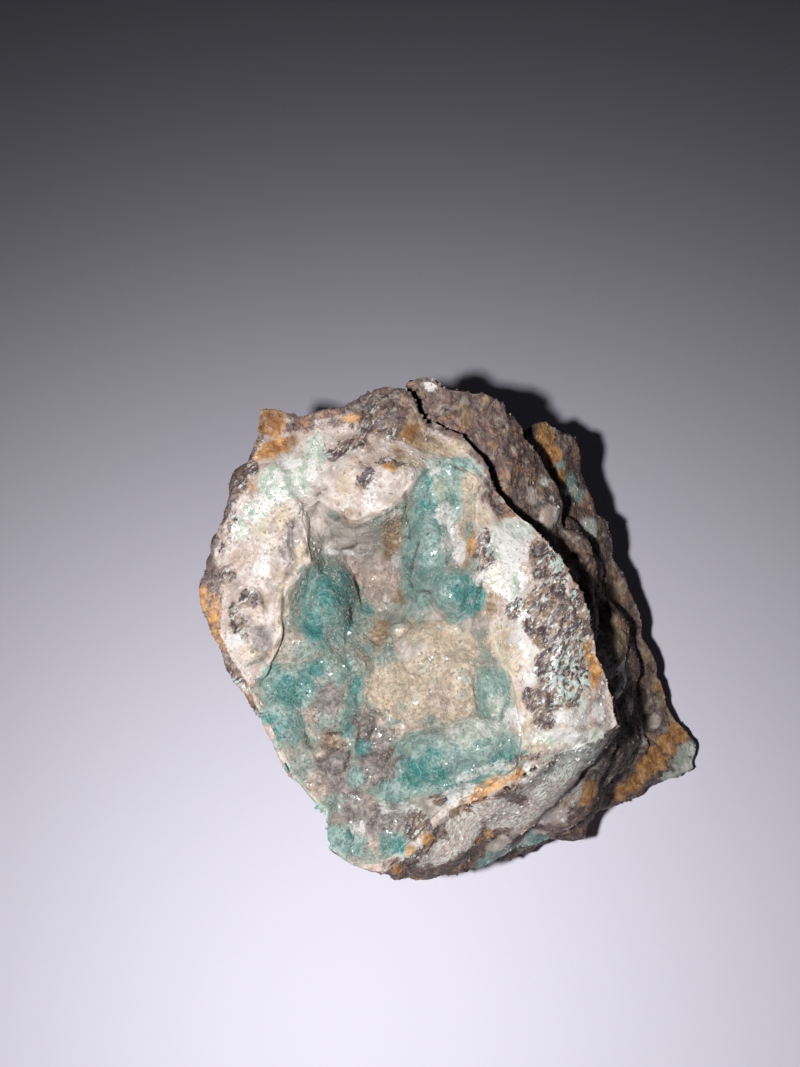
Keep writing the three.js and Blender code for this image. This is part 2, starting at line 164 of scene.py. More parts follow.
# Lumps and grooves on the break: centre a, b, half sizes a, b, height.
RIM_LUMPS = [
    (-2.2, 17.6, 4.2, 3.2, 2.2), (2, 16.8, 2.2, 2, 1.4), (-1.2, 24.2, 3.6, 2.6, 1.3),
    (-11.2, 25, 2, 1.4, 0.8), (-8.5, 18, 2.6, 2.6, 0.7), (-12.4, 12.5, 2.6, 3, 0.8),
    (-13.6, 4, 2.2, 2.6, 0.8), (16.5, 3.6, 3.6, 4, 1.5), (16.4, -4.6, 3, 3.6, 1.7),
    (12, 9.5, 2.6, 3.2, 0.7), (13.4, 1.2, 1.6, 4.5, -0.9),
    (18.2, -7.4, 1.8, 1.4, 0.8), (20, -4.2, 1.2, 2, 0.5), (14.8, -8.6, 1.8, 1, 0.5),
]

# Lumps and hollows on the walls: centre x, y, z, radius, height.
WALL_LUMPS = [
    (-6.5, 17.5, 49, 2.2, 1), (6.5, 9.5, 37, 3, 1.6), (14.5, 3.5, 22, 4, 0.6), (17, 16, 25, 4, 1.8),
    (19, 9.5, 16, 3.5, 0.8), (27, -4.5, 5, 3.6, 1.4), (-28, 6, 28, 5, 0.9),
    (-25, 13, 20, 4, -1.6), (-23, -4, 13, 6, 1), (-20, -13, 22, 4.5, -1.5), (-12, -20, 14, 5.5, 1),
    (-2, -20, 9, 4, -1.2), (6, -18.5, 12, 4, 1.4), (-20, 21, 26, 5, 1.8), (-8, 25, 16, 6, 2),
    (-6, 24, 33, 4, -1.6), (6, 25, 12, 5, -1.4), (12, 23, 20, 5, 1.6),
    (7, -16, 30, 3.4, 1.5), (1.5, -19, 29.5, 3.2, 1.2), (-4, -21.5, 29.5, 2.6, 0.9),
]

# Lobes of the crust: centre a, b, half sizes a, b, turn in degrees, top, drop to the foot.
LOBES = [
    (-5.8, 5.3, 2.7, 4.7, -8, -1, 8), (-8.4, 0.4, 3.4, 3.2, 0, -1.6, 3),
    (-5.6, -1.8, 2.8, 2.6, 0, -2.1, 3), (-2.7, -1.1, 2, 2.4, 0, -3.6, 3),
    (-5.3, -5.6, 2.6, 2.8, 0, -1.9, 3), (-9.7, -6.6, 2.4, 3.8, 25, -1.5, 3),
    (-4.6, -10.2, 1.4, 1.4, 0, -1.5, 3), (-6.2, -9.4, 1.2, 1.2, 0, -1.6, 3),
    (-2.3, -6.9, 1.4, 1.5, 0, -2.1, 3), (-1.5, -11.3, 3.6, 2.5, 0, -2.1, 3),
    (-6.6, -12.2, 2.2, 2, 30, -1.8, 2.5), (4, -0.5, 4.4, 4.4, 0, -2.9, 4),
    (7.6, -3, 3.6, 4.2, 0, -2.2, 4), (3.2, -4.6, 4, 3.2, 0, -3.1, 4), (1.3, 2.9, 1.7, 1.8, 0, -4.4, 4),
    (5.2, 16.2, 3.2, 4.2, -8, -1.1, 5), (4.7, 11.2, 3.1, 4.4, 4, -1.3, 5),
    (7, 6.8, 3.6, 3.8, 25, -1.6, 5), (10.6, -3.5, 2.1, 3.1, 20, -0.9, 4),
    (9.6, -8.3, 4.4, 3.2, 14, -1, 4), (5, -10, 4.4, 3.3, 12, -1.3, 4),
    (0.6, -15.6, 4.2, 3, 0, -1.4, 4), (-3.8, -17, 2.4, 2.4, 0, -1, 3),
    (-6.8, 13.8, 1.9, 2.2, 0, -3.4, 6), (-3.1, 11.3, 2.4, 2.1, 0, -8.6, 3),
    (-0.3, 6.3, 2.2, 2.2, 0, -9.4, 3), (1.3, 12, 1.6, 2.4, 0, -5.6, 6),
]

# ---------------------------------------------------------------- where each mineral shows, and where shadow lines, shade and glints are painted
# Patches on the break and the crust: centre a, b, half sizes a, b, and degrees of turn where it is turned.
PATCHES = {
    "stone": [
        (1, 24.2, 4.4, 3.2), (5.6, 23, 2, 0.9, -10), (-8.2, 23.1, 2.2, 0.7), (-4.2, 23.8, 1.6, 0.8, 20),
        (11.8, 15, 2, 1.4, -45), (10.1, 16.5, 0.8, 1.6), (-16.7, 5.4, 1, 3.4), (-17.1, 8.2, 0.7, 1.4),
    ],
    "tan": [
        (-3.7, 16.3, 1.1, 0.9), (2, 18.8, 1.6, 0.9, 10), (6.1, 20.7, 2.4, 0.7, -5),
        (8.5, 16.7, 1.1, 1.8), (9.3, 14, 1.4, 0.9, -30), (7.8, 12.7, 0.6, 2.3), (8.3, 10, 0.5, 1),
        (10.1, 6.6, 0.9, 2), (11.2, 1.5, 1.6, 1.5), (11.8, -1.1, 1.3, 1.4), (13.3, 0.7, 1.2, 1.2),
        (12.5, -4.1, 0.5, 1.6), (-9.9, 5.4, 0.4, 3.2), (-9.8, 13.2, 0.9, 1.6, 10),
        (-12.3, 0.8, 1.4, 0.9, 15), (14.4, -8.3, 1.9, 1, 15), (13.6, -6.5, 1.2, 0.9),
        (-11.9, 12.3, 1, 0.8), (1.8, -3.3, 3.6, 3.1), (5.8, 0.6, 3.8, 3.1), (6.7, -4, 2.5, 2.4),
        (2.8, 1.7, 2, 1.9), (-8.2, 10.7, 0.8, 2), (2.2, -7, 1.6, 0.7, 10),
    ],
    "brown": [
        (0.8, 12.2, 1.1, 2.1, -10), (1.8, 6.5, 0.8, 0.9), (-0.4, 2.7, 1.2, 1.2), (-11.3, 24.3, 1.7, 1.5),
        (3.5, 21.4, 2.3, 1.1, -5), (2.9, 22.3, 1.9, 1.2, 55), (1.4, 19.8, 0.9, 0.8),
        (5.8, 20.6, 1.2, 0.8, -20), (-9.3, 21.5, 0.9, 0.8), (-3.1, 13.8, 0.9, 0.6),
        (10.3, 5.1, 0.6, 1.2), (6.8, -14.1, 0.7, 0.8), (-4.8, -7.8, 1.2, 0.6),
    ],
    "pink": [
        (-3, 9.6, 1.6, 1.2), (-5.4, -9.2, 1.6, 1.4), (-3.8, -9.3, 0.8, 1.1),
        (-6.3, -12.3, 1.4, 1.2, -30), (-2.2, -14, 1.5, 1.2), (-0.8, -17.6, 0.8, 0.9),
        (-0.1, 9, 2.2, 3.6, -15), (3.1, -7.1, 1.4, 0.5), (-0.4, -6.4, 0.8, 0.6), (-7.5, -5.4, 1.2, 1.2),
        (5.6, -4.2, 1, 1.4),
    ],
    "ash": [
        (-0.3, -10.2, 2.2, 1.9), (-2.2, -6.8, 1.6, 1.5), (-1.3, -11.7, 1.5, 1.1), (0, -15.5, 2.2, 1.4),
        (-2.8, -16, 1.9, 1), (-5.2, -10.4, 1.8, 1.3), (-3.4, -12.4, 1.7, 1.3), (-2.6, -14, 1.5, 1.1),
        (-0.4, -7.8, 1.3, 1.2), (-5.4, -4.2, 1.3, 1.5), (-11.8, 1.6, 1.3, 1.2, 30),
        (-13.3, 3.4, 0.8, 0.9), (-8.9, 12, 0.8, 1.7, -15), (-9.5, 9.6, 0.7, 1.2), (21, -6, 0.8, 1.1),
        (20.6, -3.4, 0.6, 1.3),
    ],
    "clear": [
        (-7, 14.2, 1.7, 2, -20), (-4.2, 12.3, 4, 1.9), (-1.5, 10.7, 1.5, 1.3), (2.4, 0.7, 1.4, 0.9),
        (-11.8, 21.7, 0.9, 0.5), (4.5, -13.8, 1.7, 0.8), (6.2, 18.9, 1, 0.7), (9, 3.4, 1.1, 0.9),
        (5.3, 4.9, 1.2, 1),
    ],
    "green": [
        (-5.8, 5, 2.9, 4.4), (5.4, 15.6, 2.5, 3.9), (4.1, 10, 2.5, 5.3), (7.8, 5.8, 2.2, 2.4, -20),
        (8.9, 18.6, 1.3, 0.5, -30), (6.8, 18.8, 2, 0.8), (10.8, -3.5, 1.6, 2.7), (4.5, -10.3, 3.4, 2.9),
        (9.4, -9.4, 4, 2.7, 15), (1.6, -12.8, 2.1, 1.3), (-9.1, -3.3, 2.5, 2.3), (-11.1, -1.8, 1, 1.5),
        (-11, -5.6, 1.2, 0.9), (-6.8, -1.1, 1.3, 1), (-10, -7.5, 0.5, 2.4, -15), (-3, -3.5, 0.9, 2.1),
        (-3.8, -1.6, 0.8, 1.6), (-2.3, -8.9, 1.1, 0.9), (-3.6, -6.9, 0.5, 1), (-2.6, -11.4, 0.8, 0.8),
        (-3.6, -17.6, 2.2, 1.3, -20), (1.1, -17.4, 1.6, 1.2), (-2.2, 5, 1, 0.9), (-3.6, 3.1, 0.6, 0.9),
        (-9, -6.6, 1.3, 1.6, -20),
    ],
    # Deep teal; the long patch down the tall lobe's right side also paints that side's shade.
    "deep": [
        (4.9, 17, 0.4, 1.1), (5.3, 14.8, 0.6, 1), (4.4, 15.1, 0.9, 0.5), (5.6, 12.9, 0.5, 1.2),
        (8.6, 5.5, 1.2, 1.4), (7.1, 6.2, 0.6, 0.6), (8.5, 7.5, 1.2, 0.4), (4.8, -9.4, 0.8, 0.8),
        (5.1, -11.3, 0.9, 1.1), (2.6, -11.7, 1.2, 0.8), (3.4, -10.7, 1.1, 1.2, -50),
        (6.6, -12.2, 1, 0.5, 15), (3.4, -12.4, 0.6, 0.6), (-9, -3.9, 0.9, 0.9), (-9.6, -3.1, 1, 1.2),
        (-7.7, -2.8, 0.8, 0.8), (-6.8, -1.1, 0.8, 0.7), (-4, 7.5, 0.8, 3, -12), (-5.8, 6.3, 1.2, 1.4),
        (-7.1, 3.2, 0.9, 1.7), (-6.2, 0.5, 0.6, 0.6), (-4.2, -17.4, 0.6, 0.5), (-3.2, -16.9, 0.4, 0.6),
        (-2.3, -18.5, 0.6, 0.3), (1.4, -17.5, 0.8, 0.7), (0, -17.9, 0.3, 0.8), (-11.1, -5.9, 0.8, 0.5),
        (-10.3, -7.5, 0.4, 0.9), (-2.2, -9.2, 0.6, 0.8), (-3.9, -6.5, 0.3, 0.8), (-2.2, 4.9, 0.5, 0.5),
        (-3.6, 3.1, 0.4, 0.7), (-2.8, -3.3, 0.5, 1.4), (11.2, -9.9, 1.3, 0.8),
    ],
    "mint": [
        (-9.7, 17.4, 2.8, 2.2, 30), (-12.7, 14.1, 1.6, 0.9), (-6.8, 20.1, 1.1, 1.8),
        (-14.2, 12.1, 0.8, 0.9), (12.6, 7.7, 0.9, 4), (13, 12.3, 1.8, 1), (11.3, 10.4, 1.4, 1.4),
        (16.3, -7.5, 2.6, 0.7), (19.7, -7.6, 1.4, 0.8), (18.2, -9, 1.6, 1, 10),
        (17.6, -1.2, 2.2, 3.4, -15), (17, 9, 0.8, 2, -10), (16.4, 8.4, 0.6, 1.6), (18.6, -4.6, 0.9, 1),
        (8.6, -7.3, 3, 0.9, 12), (5.6, 16.4, 0.7, 1.4), (10.9, -4.6, 0.7, 0.9),
    ],
    # White mineral, and painted glints and highlights: bright specks in the pocket and streaks on the lower
    # lobe
    "white_and_glint": [
        (-12, 15.2, 0.8, 0.7), (-8.8, 19.1, 1.4, 0.5), (-7.3, 18.2, 0.7, 0.8), (-10.3, 17.8, 0.5, 0.4),
        (-1.2, 15.3, 0.7, 1.1), (-3.9, 14.4, 0.4, 0.4), (0.4, 14.3, 0.8, 0.4), (5.9, 14.2, 0.9, 1, -10),
        (6.7, 12.2, 0.8, 1.7, -15), (7.6, 10.3, 0.7, 1.2, -15), (9.6, -10.6, 1.1, 0.25, 15),
        (6.4, -9.9, 0.6, 0.2, 40), (8.6, -11.2, 1.2, 0.3, 15), (1.2, 10.4, 0.6, 0.7),
        (11.9, 11, 0.9, 1.5), (13.4, 10, 0.8, 1.4), (11.2, 6.7, 0.4, 0.8), (17.9, -5.8, 1.9, 0.9),
        (14.5, 0.8, 1.1, 1.4), (14.1, -1.7, 0.6, 1.5, -20), (12.5, -5.9, 0.8, 0.9), (13.6, 3.3, 1, 1),
        (-11.9, 8.4, 0.8, 1.4), (-14.3, 1.5, 0.6, 0.8), (0.2, -14.6, 0.6, 0.5),
        (2.5, -14.5, 1.1, 0.5, -20), (11, -10.4, 1, 0.2, 5), (6.7, -13.1, 0.8, 0.5, 20),
        (8.4, -12.8, 0.7, 0.6, -30), (-2.6, -16.2, 0.6, 0.5), (4.5, 18.6, 0.9, 0.5),
        (-5.3, 11.2, 2.3, 0.3), (9.7, 7.7, 0.5, 0.8), (17.2, -7.2, 1, 0.6), (20.4, -5.4, 0.6, 0.9),
        (12.6, 9.5, 1.2, 2.2), (13.4, 1.6, 1, 1.4),
    ],
    "gravel": [
        (18.3, -9.4, 2.9, 0.9, 10), (14.1, -10.9, 1.9, 0.9, 20), (-14.1, -2.7, 0.8, 0.5, -45),
    ],
    "dark": [
        (-5.1, 19.9, 0.8, 0.7), (-2.7, 20.8, 1.7, 0.8), (-1, 24.9, 1, 1.2), (0.6, 22, 0.9, 0.8),
        (4.3, 21.6, 1.3, 0.4, -30), (-1.5, 22.7, 0.9, 1), (-3.3, 23, 0.5, 0.4),
        (-1.6, 17.1, 0.6, 1.1, -30), (0.5, 18.5, 1.3, 0.6), (-13.8, 16.6, 0.6, 0.8),
        (-13.3, 18.8, 0.6, 0.7), (-14.8, 14.4, 0.4, 0.9), (-15.3, 12.4, 0.3, 1.2),
        (-15.9, 10.6, 0.3, 0.7), (-15.3, 7.8, 0.9, 1), (-13.2, 5.5, 1.1, 0.9), (-14.3, 3, 0.7, 0.9),
        (-14.6, 4.5, 0.5, 0.8), (-13.5, 1.8, 0.4, 0.4), (-14.6, -0.8, 0.5, 0.8), (-14.5, -2.1, 0.7, 0.5),
        (9.4, 10.7, 0.8, 1.3, -20), (10.1, 9.4, 0.8, 0.7), (9.6, 8.5, 0.5, 0.4), (12.4, 4.2, 0.8, 0.9),
        (13.3, 4.9, 1.1, 0.6), (13.9, 2.9, 0.5, 0.8), (15.4, 9.2, 1.2, 2.6), (16.6, 7.7, 1.3, 2.9, -10),
        (15.5, 4.8, 1.9, 1.9), (16, 2.5, 2.3, 2.3), (16.8, -1.1, 2.3, 3.3, -15), (14.7, -4.1, 1.6, 1.4),
        (15.2, -6.1, 1.1, 0.8), (18, -3.1, 1.3, 1.9), (19.2, 1.5, 1, 2.9, -15), (19.4, -1, 0.9, 2.4, -8),
        (18.6, 5.5, 1.1, 3, -20), (12.7, -10.3, 0.4, 1), (14, -9.4, 1.1, 0.2, 15), (2.8, -16.1, 0.6, 1),
        (3.3, -15, 0.9, 0.5), (5.3, -13.4, 1.1, 0.4), (1.4, -19.3, 1, 0.6), (2.6, -19.4, 0.8, 0.9),
        (4, -15.6, 0.6, 0.6),
    ],
    # Cracks and creases, and painted shadow lines under ledges, beside the tall lobe and along the pocket's
    # edge; all are also cut a little into the surface.
    "crack_and_shadow_line": [
        (-3.3, -9.5, 0.2, 1.1), (-3.5, -10.3, 0.2, 0.6), (-1.2, 1.8, 1.1, 0.2, -38),
        (2.8, 6.2, 1.1, 0.2, -48), (-0.8, -5.4, 0.9, 0.2, -28), (-1, -7.5, 0.2, 0.9, -25),
        (3.6, 24.6, 0.2, 1.4), (2.9, 25.9, 1, 0.2, -45), (4.6, 23.1, 0.9, 0.2, -30),
        (6.4, 22.7, 1.2, 0.2), (-1.7, -11.7, 0.2, 0.5), (0, -11.9, 0.2, 0.4),
        (-8.2, 14.3, 0.2, 1.3, -25), (-7.5, 10.7, 0.2, 1.6), (-9.2, 11.6, 0.2, 0.9),
        (-9, 10, 0.2, 0.8, 15), (-6.4, 16, 1.3, 0.2, 25), (-4.4, 13.7, 1.4, 0.2),
        (0.4, 14.1, 1.8, 0.2, 22), (2.2, 15.6, 1, 0.2, 45), (-3.8, 11.6, 2.4, 0.3, 8),
        (-3.1, 7.5, 0.3, 2.7, 18), (-3.4, 4.6, 0.3, 1), (-5.8, 20.6, 0.2, 1.1),
        (-5.2, 19.3, 0.6, 0.2, -20), (-16, 10.1, 0.2, 1.3, -15), (-11.8, -0.2, 1.9, 0.2, 30),
        (-9.8, 5, 0.2, 1.8), (-9.6, 8, 0.2, 1, -30), (-11.8, 5.4, 0.2, 2, 15), (0.7, 1, 0.2, 1.3),
        (18.2, -4.1, 0.9, 0.2, 40), (16.2, -4.8, 1.4, 0.2, 12), (14.5, -6.2, 0.4, 0.4),
        (2.7, 7.6, 0.2, 1.1, 30), (-4, 1.8, 0.2, 1), (-10.2, 1.1, 0.2, 1.2, -30), (1.5, -9.7, 0.3, 0.3),
        (-4, -8.6, 0.9, 0.2, 10), (7.4, 18.6, 1.4, 0.2, -25), (18.3, 4.6, 0.2, 2.3, 25),
        (12.8, -9.3, 0.6, 0.2, 20), (-2.2, 18.6, 0.2, 0.5), (2.4, 14, 0.25, 3), (2.9, 9.6, 0.25, 2, -12),
        (9.3, 6.2, 0.2, 1.6, -20), (3.9, 6.6, 1.2, 0.2, -15), (8.8, -2.6, 0.2, 1.8, 10),
        (-7.3, -8.2, 0.25, 1.2, 20), (-2.6, -8.3, 0.2, 1.4), (-5, -7.6, 1.2, 0.2),
        (-1.6, -9.3, 0.8, 0.2, 30), (0.6, -9.4, 0.25, 1.4, -25),
    ],
    "orange": [
        (-11.3, 23.6, 1.5, 1.5), (-11, 20.8, 2.1, 1, 30), (-13.1, 16.6, 0.3, 0.4),
        (-3.1, 23.6, 0.5, 0.3), (0.5, 18, 0.5, 0.3), (2.9, 22.2, 1.2, 0.6, 55), (8.7, 10.9, 0.3, 0.9),
        (8.4, 9, 0.3, 0.4), (9.2, -12.8, 1.3, 0.55, 35), (10.4, -12.1, 1.2, 0.55, 33),
        (11.7, -11.3, 1.1, 0.35, 28), (20.2, -1.6, 0.6, 1.8, -5), (19.6, 0.6, 0.5, 1.2),
        (2.6, -17.8, 0.6, 0.6), (1.5, -19.7, 0.7, 0.4), (4, -16.7, 0.5, 0.6), (-17.5, 5.7, 0.4, 1),
        (-16.5, 3.3, 0.5, 1.4),
    ],
}

# Patches on the walls and ledges: centre x, y, z and radius.
WALL_PATCHES = {
    "orange": [
        (7.9, 23.9, 34.9, 1.8), (9, 22.5, 33, 1.5), (9.8, 20.6, 31.2, 0.9), (17.9, 3.1, 21.4, 0.6),
        (20, 3.1, 16.5, 0.6), (27, -2.6, 5.6, 1.6), (25.5, -4, 5.5, 1.6), (23.8, -5.9, 5.4, 1.6),
        (21.6, -7.8, 5.8, 1.5), (19.6, -9.5, 6, 1.4), (17.8, -10.8, 6.4, 1.3), (9.9, -16.2, 24.3, 1),
        (9.4, -17.1, 23.8, 0.8), (5.6, -18.2, 25.9, 0.4), (7.2, -17.4, 24.3, 0.4),
        (-1.1, -21.2, 26.6, 0.5), (-2.1, -21.8, 26.7, 0.4), (2.5, -20.2, 25.7, 0.4),
        (24.9, 2.7, 9.2, 0.7),
    ],
    "brown": [
        (25.1, 1, 8.2, 1), (23.7, 2.6, 9.6, 0.9), (26.7, -0.8, 6.9, 0.8), (15.2, 4.4, 24, 0.9),
        (16.3, 2, 23.4, 1.3), (17.3, 0.9, 21.8, 1.1), (14.6, 1.4, 24.9, 1.1), (17.6, 10.5, 17.8, 1.8),
        (23.1, 6.5, 12.1, 1.8), (12.2, 24.7, 31.4, 1), (-2.9, 15.6, 47, 1), (-0.8, 18.1, 47.8, 0.8),
        (-4, 16.2, 47.7, 0.5), (1.7, 18.5, 44.9, 0.7), (17.8, 14.4, 20, 1.2), (18.6, 12.2, 18.1, 1),
        (0.3, 11.1, 42.4, 0.5),
    ],
    "green": [
        (2.8, -20.9, 19.6, 1.9), (0.3, -22, 22.4, 1.5), (-1.4, -23.1, 23.4, 1.2), (5, -20, 18, 1.4),
        (11.6, 21.2, 29.5, 1.3), (13, 20.2, 27.8, 0.9), (10.2, 21.8, 31.6, 0.8),
    ],
    "mint": [
        (12, 20.3, 28.4, 0.9), (14.1, 16.9, 25.3, 1.5), (12.5, 10.8, 30.6, 0.8), (6.2, 13.8, 38.4, 0.6),
        (17, -2.4, 19.3, 1.8), (16.6, -1.1, 21.5, 1.1), (27.6, -6.2, 4, 1.9), (25.6, -8.3, 3.8, 1.2),
        (28.6, -4, 3.5, 1.4), (8.8, -15.1, 33.5, 0.9), (3.7, -16.6, 35.5, 0.6), (1.5, -18, 34.9, 0.6),
        (9.6, -14.6, 31.2, 1), (7.4, -15.7, 33.5, 1.6), (5.4, -16.7, 32.1, 1.5), (9.5, -14.5, 31, 1.4),
        (3.6, -18.2, 30.7, 0.8), (2.8, -20.9, 19.6, 1.2), (0.8, -22.1, 20.9, 1.3),
    ],
    "white_and_glint": [
        (-7, 18.3, 49.1, 0.8), (11, 19.7, 29.1, 0.6), (7, 12.2, 37.4, 0.4), (7.4, 10.9, 36.2, 0.8),
        (13.7, 17.2, 25.8, 0.5), (27.8, -6.9, 3.6, 0.8), (0.5, -22.2, 20.6, 0.8),
    ],
    "cream": [
        (4.3, 11.5, 39, 1), (6.4, 10.3, 37, 1.2), (8.1, 10.6, 34.2, 0.7), (21.4, -4.5, 9, 1.2),
        (23.6, -1.7, 7.4, 0.9), (0, -21.8, 24.5, 1.3), (2.2, -20.4, 24.8, 1.2), (6.2, -18.4, 23.3, 1.7),
        (8.3, -19.1, 20.3, 1), (4.9, -19.5, 20.2, 1), (18.8, -2.7, 14.5, 0.9), (4.4, -19.2, 24.2, 1.4),
    ],
    "dark": [
        (11.2, -15.1, 24.2, 0.6), (11.5, -14, 25.9, 0.6), (23.6, 0.2, 8.4, 0.4),
    ],
    "gravel": [
        (6.9, -16.1, 30.5, 2.5), (4.4, -18, 29.6, 2.6), (0.2, -19.7, 28.3, 2.4),
        (-3.8, -21.6, 29.2, 2.2), (-6.1, -23.5, 28.6, 1.8), (9.9, -14.5, 27.8, 1.8),
        (8, -16.8, 25.7, 1.9), (-8.1, -24.5, 28.9, 1.1), (8.6, -14.6, 33.4, 1.5), (3, -18.6, 32.4, 1.8),
        (-1.5, -20.4, 31.8, 1.8), (-4.6, -22.4, 31, 1.4), (2.6, -19.6, 27.2, 1.8),
    ],
}
MINERALS = ("cream", *PATCHES)


# ---------------------------------------------------------------- curves and frames
def around(table, degrees):
    """Each column of [degrees, value, ...] rows at some angles: straight between rows, round the circle."""
    rows = np.array(table, float)
    return [np.interp(degrees, rows[:, 0], column, period=360) for column in rows[:, 1:].T]


def on_face(a, b, n):
    """A place of the break's frame: the frame leans back by its tilt, about the hollow's axis."""
    sin, cos = math.sin(FACE_TILT), math.cos(FACE_TILT)
    x, y, z = FACE_CENTRE
    return np.stack(np.broadcast_arrays(x + a, y + b * cos - n * sin, z + b * sin + n * cos), -1)


def in_part(place):
    """A place of this modelling frame, in metres in the part's own frame."""
    return (np.array(place, float) + np.array(PART_SHIFT)) * MM


def face_direction(a, b, n):
    """A direction of the break's frame: a place there less the frame's own middle."""
    return on_face(a, b, n) - on_face(0, 0, 0)


def face_place(points):
    """The a, b and n of points: their offsets from the break's centre, turned back by its tilt."""
    sin, cos = math.sin(FACE_TILT), math.cos(FACE_TILT)
    x, y, z = np.moveaxis(points - np.array(FACE_CENTRE), -1, 0)
    return x, y * cos + z * sin, z * cos - y * sin


def spokes(columns):
    """Degrees, cosines and sines of even steps round the circle."""
    degrees = np.arange(columns) * 360 / columns
    return degrees, np.cos(np.radians(degrees)), np.sin(np.radians(degrees))


def sector(degrees, middle, full, end):
    """1 up to full degrees on either side of the middle, falling to 0 at end degrees."""
    away = np.abs((degrees - middle + 180) % 360 - 180)
    return np.clip((end - away) / (end - full), 0, 1)


def ellipse(a, b, centre_a, centre_b, half_a, half_b, turn=0):
    """Distance from the middle of a turned ellipse: each offset over its half size, so 1 on its edge."""
    cos, sin = math.cos(math.radians(turn)), math.sin(math.radians(turn))
    u = ((a - centre_a) * cos + (b - centre_b) * sin) / half_a
    v = ((b - centre_b) * cos - (a - centre_a) * sin) / half_b
    return np.hypot(u, v)


def bells(lumps, a, b):
    """Sum of bell curves: each is its height times e to minus the squared distance over its half size."""
    height = 0
    for centre_a, centre_b, half_a, half_b, top in lumps:
        height = height + top * np.exp(-(((a - centre_a) / half_a) ** 2) - ((b - centre_b) / half_b) ** 2)
    return height


def relief(points):
    """Sum of plane waves, each shorter, lower and turned from the last; every other one has sharp
    valleys."""
    height = 0
    for i in range(RELIEF_WAVES):
        direction = np.array([math.cos(WAVE_TURN * i), math.sin(WAVE_TURN * i), math.cos(WAVE_CLIMB * i)])
        direction /= np.linalg.norm(direction)
        phase = 2 * np.pi * (points @ direction) * WAVE_STEP**i / LONGEST_WAVE + WAVE_PHASE * i
        shape = 2 * np.abs(np.sin(phase / 2)) - 1 if i % 2 else np.sin(phase)
        height = height + RELIEF_HEIGHT / WAVE_STEP ** (WAVE_FALL * i) * shape
    return height


# ---------------------------------------------------------------- noise and crystal cells
def hashed(cell, seed):
    """A repeatable number from 0 to 1 for each whole-numbered place: its parts times odd numbers, joined
    bit by bit with the seed's number, and stirred twice."""
    n = cell[..., 0] * 73856093 ^ cell[..., 1] * 19349663 ^ cell[..., 2] * 83492791 ^ (seed * 40503 + 97)
    for _ in range(2):
        n = ((n ^ (n >> 15)) * 2246822519) & 0xFFFFFFFF
    return (n ^ (n >> 13)) / 2.0**32 % 1.0


def noise(points, size, seed):
    """Value noise from -1 to 1: the hashed corners of a lattice of that size, mixed by smooth steps."""
    place = points / size
    base = np.floor(place).astype(np.int64)
    part = place - base
    part = part * part * (3 - 2 * part)
    total = 0
    for corner in np.ndindex(2, 2, 2):
        weight = np.prod(np.where(corner, part, 1 - part), -1)
        total = total + weight * hashed(base + corner, seed)
    return 2 * total - 1


def fractal(points, size, octaves, seed):
    """Sum of noises, each of half the size and half the height of the last."""
    return sum(noise(points, size / 2**k, seed + k) / 2**k for k in range(octaves))


def crystals(points, size, seed, sharp=1.0, rounded=False):
    """Heights of crowded blocks: one block to a lattice cell, with a hashed centre, turn and top; each
    falls off with the largest of the distances along its three axes, or with the distance squared if
    rounded, and the highest block counts. Also gives a hashed number of the block that counts."""
    place = points / size
    base = np.floor(place).astype(np.int64)
    best = np.full(points.shape[:-1], -np.inf)
    owner = np.zeros(points.shape[:-1])
    for offset in np.ndindex(3, 3, 3):
        cell = base + np.array(offset) - 1
        centre = np.stack([hashed(cell, seed + k) for k in range(3)], -1)
        away = place - cell - centre
        turn, lean, top = (2 * np.pi * hashed(cell, seed + k) for k in (3, 4, 5))
        cos, sin = np.cos(turn), np.sin(turn)
        x = away[..., 0] * cos + away[..., 1] * sin
        y = away[..., 1] * cos - away[..., 0] * sin
        cos, sin = np.cos(lean), np.sin(lean)
        y, z = y * cos + away[..., 2] * sin, away[..., 2] * cos - y * sin
        reach = np.maximum(np.maximum(np.abs(x), np.abs(y)), np.abs(z))
        if rounded:
            reach = x * x + y * y + z * z
        height = top / (2 * np.pi) * 0.5 - sharp * reach
        owner = np.where(height > best, hashed(cell, seed + 6), owner)
        best = np.maximum(best, height)
    return best, owner


def drawn_out(points, angle, stretch):
    """Places squeezed along a line of the break, so that what is cut from them is drawn out along that
    line."""
    turn = math.radians(angle)
    line = face_direction(math.cos(turn), math.sin(turn), 0)
    return points - (1 - 1 / stretch) * (points @ line)[..., None] * line


def mineral_marks(points, on_break):
    """How much of each mineral shows, the painted shadow lines and glints among them: one half on the
    edge of its patches, and one from half a millimetre inside, with edges that wander by a noise;
    cracks and painted shadow lines are sharper. Patches of the break count by its share there."""
    a, b, _ = face_place(points)
    wander = [0.3 * fractal(points, 1.3, 3, 50 + k) for k in range(3)]
    marks = {}
    for order, name in enumerate(MINERALS):
        ragged = wander[order % 3]
        inside = np.full(a.shape, -9.0)
        for patch in PATCHES.get(name, []):
            inside = np.maximum(inside, (1 - ellipse(a, b, *patch)) * min(patch[2:4]))
        sharp = 4 if name == "crack_and_shadow_line" else 1
        mask = np.clip(0.5 + sharp * (inside + ragged / sharp**0.8), 0, 1) * on_break
        for x, y, z, radius in WALL_PATCHES.get(name, []):
            away = np.linalg.norm(points - np.array([x, y, z]), axis=-1)
            mask = np.maximum(mask, 0.5 + radius - away + min(1.5, radius) * ragged)
        marks[name] = np.clip(mask, 0, 1)
    return marks


# ---------------------------------------------------------------- grids and meshes
def grid_normals(rings):
    """Unit normals of rings of points: the crosswise product of the steps down and round."""
    across = np.roll(rings, -1, 1) - np.roll(rings, 1, 1)
    down = np.gradient(rings, axis=0)
    normal = np.cross(down, across)
    length = np.linalg.norm(normal, axis=-1, keepdims=True)
    return normal / np.maximum(length, 1e-9)


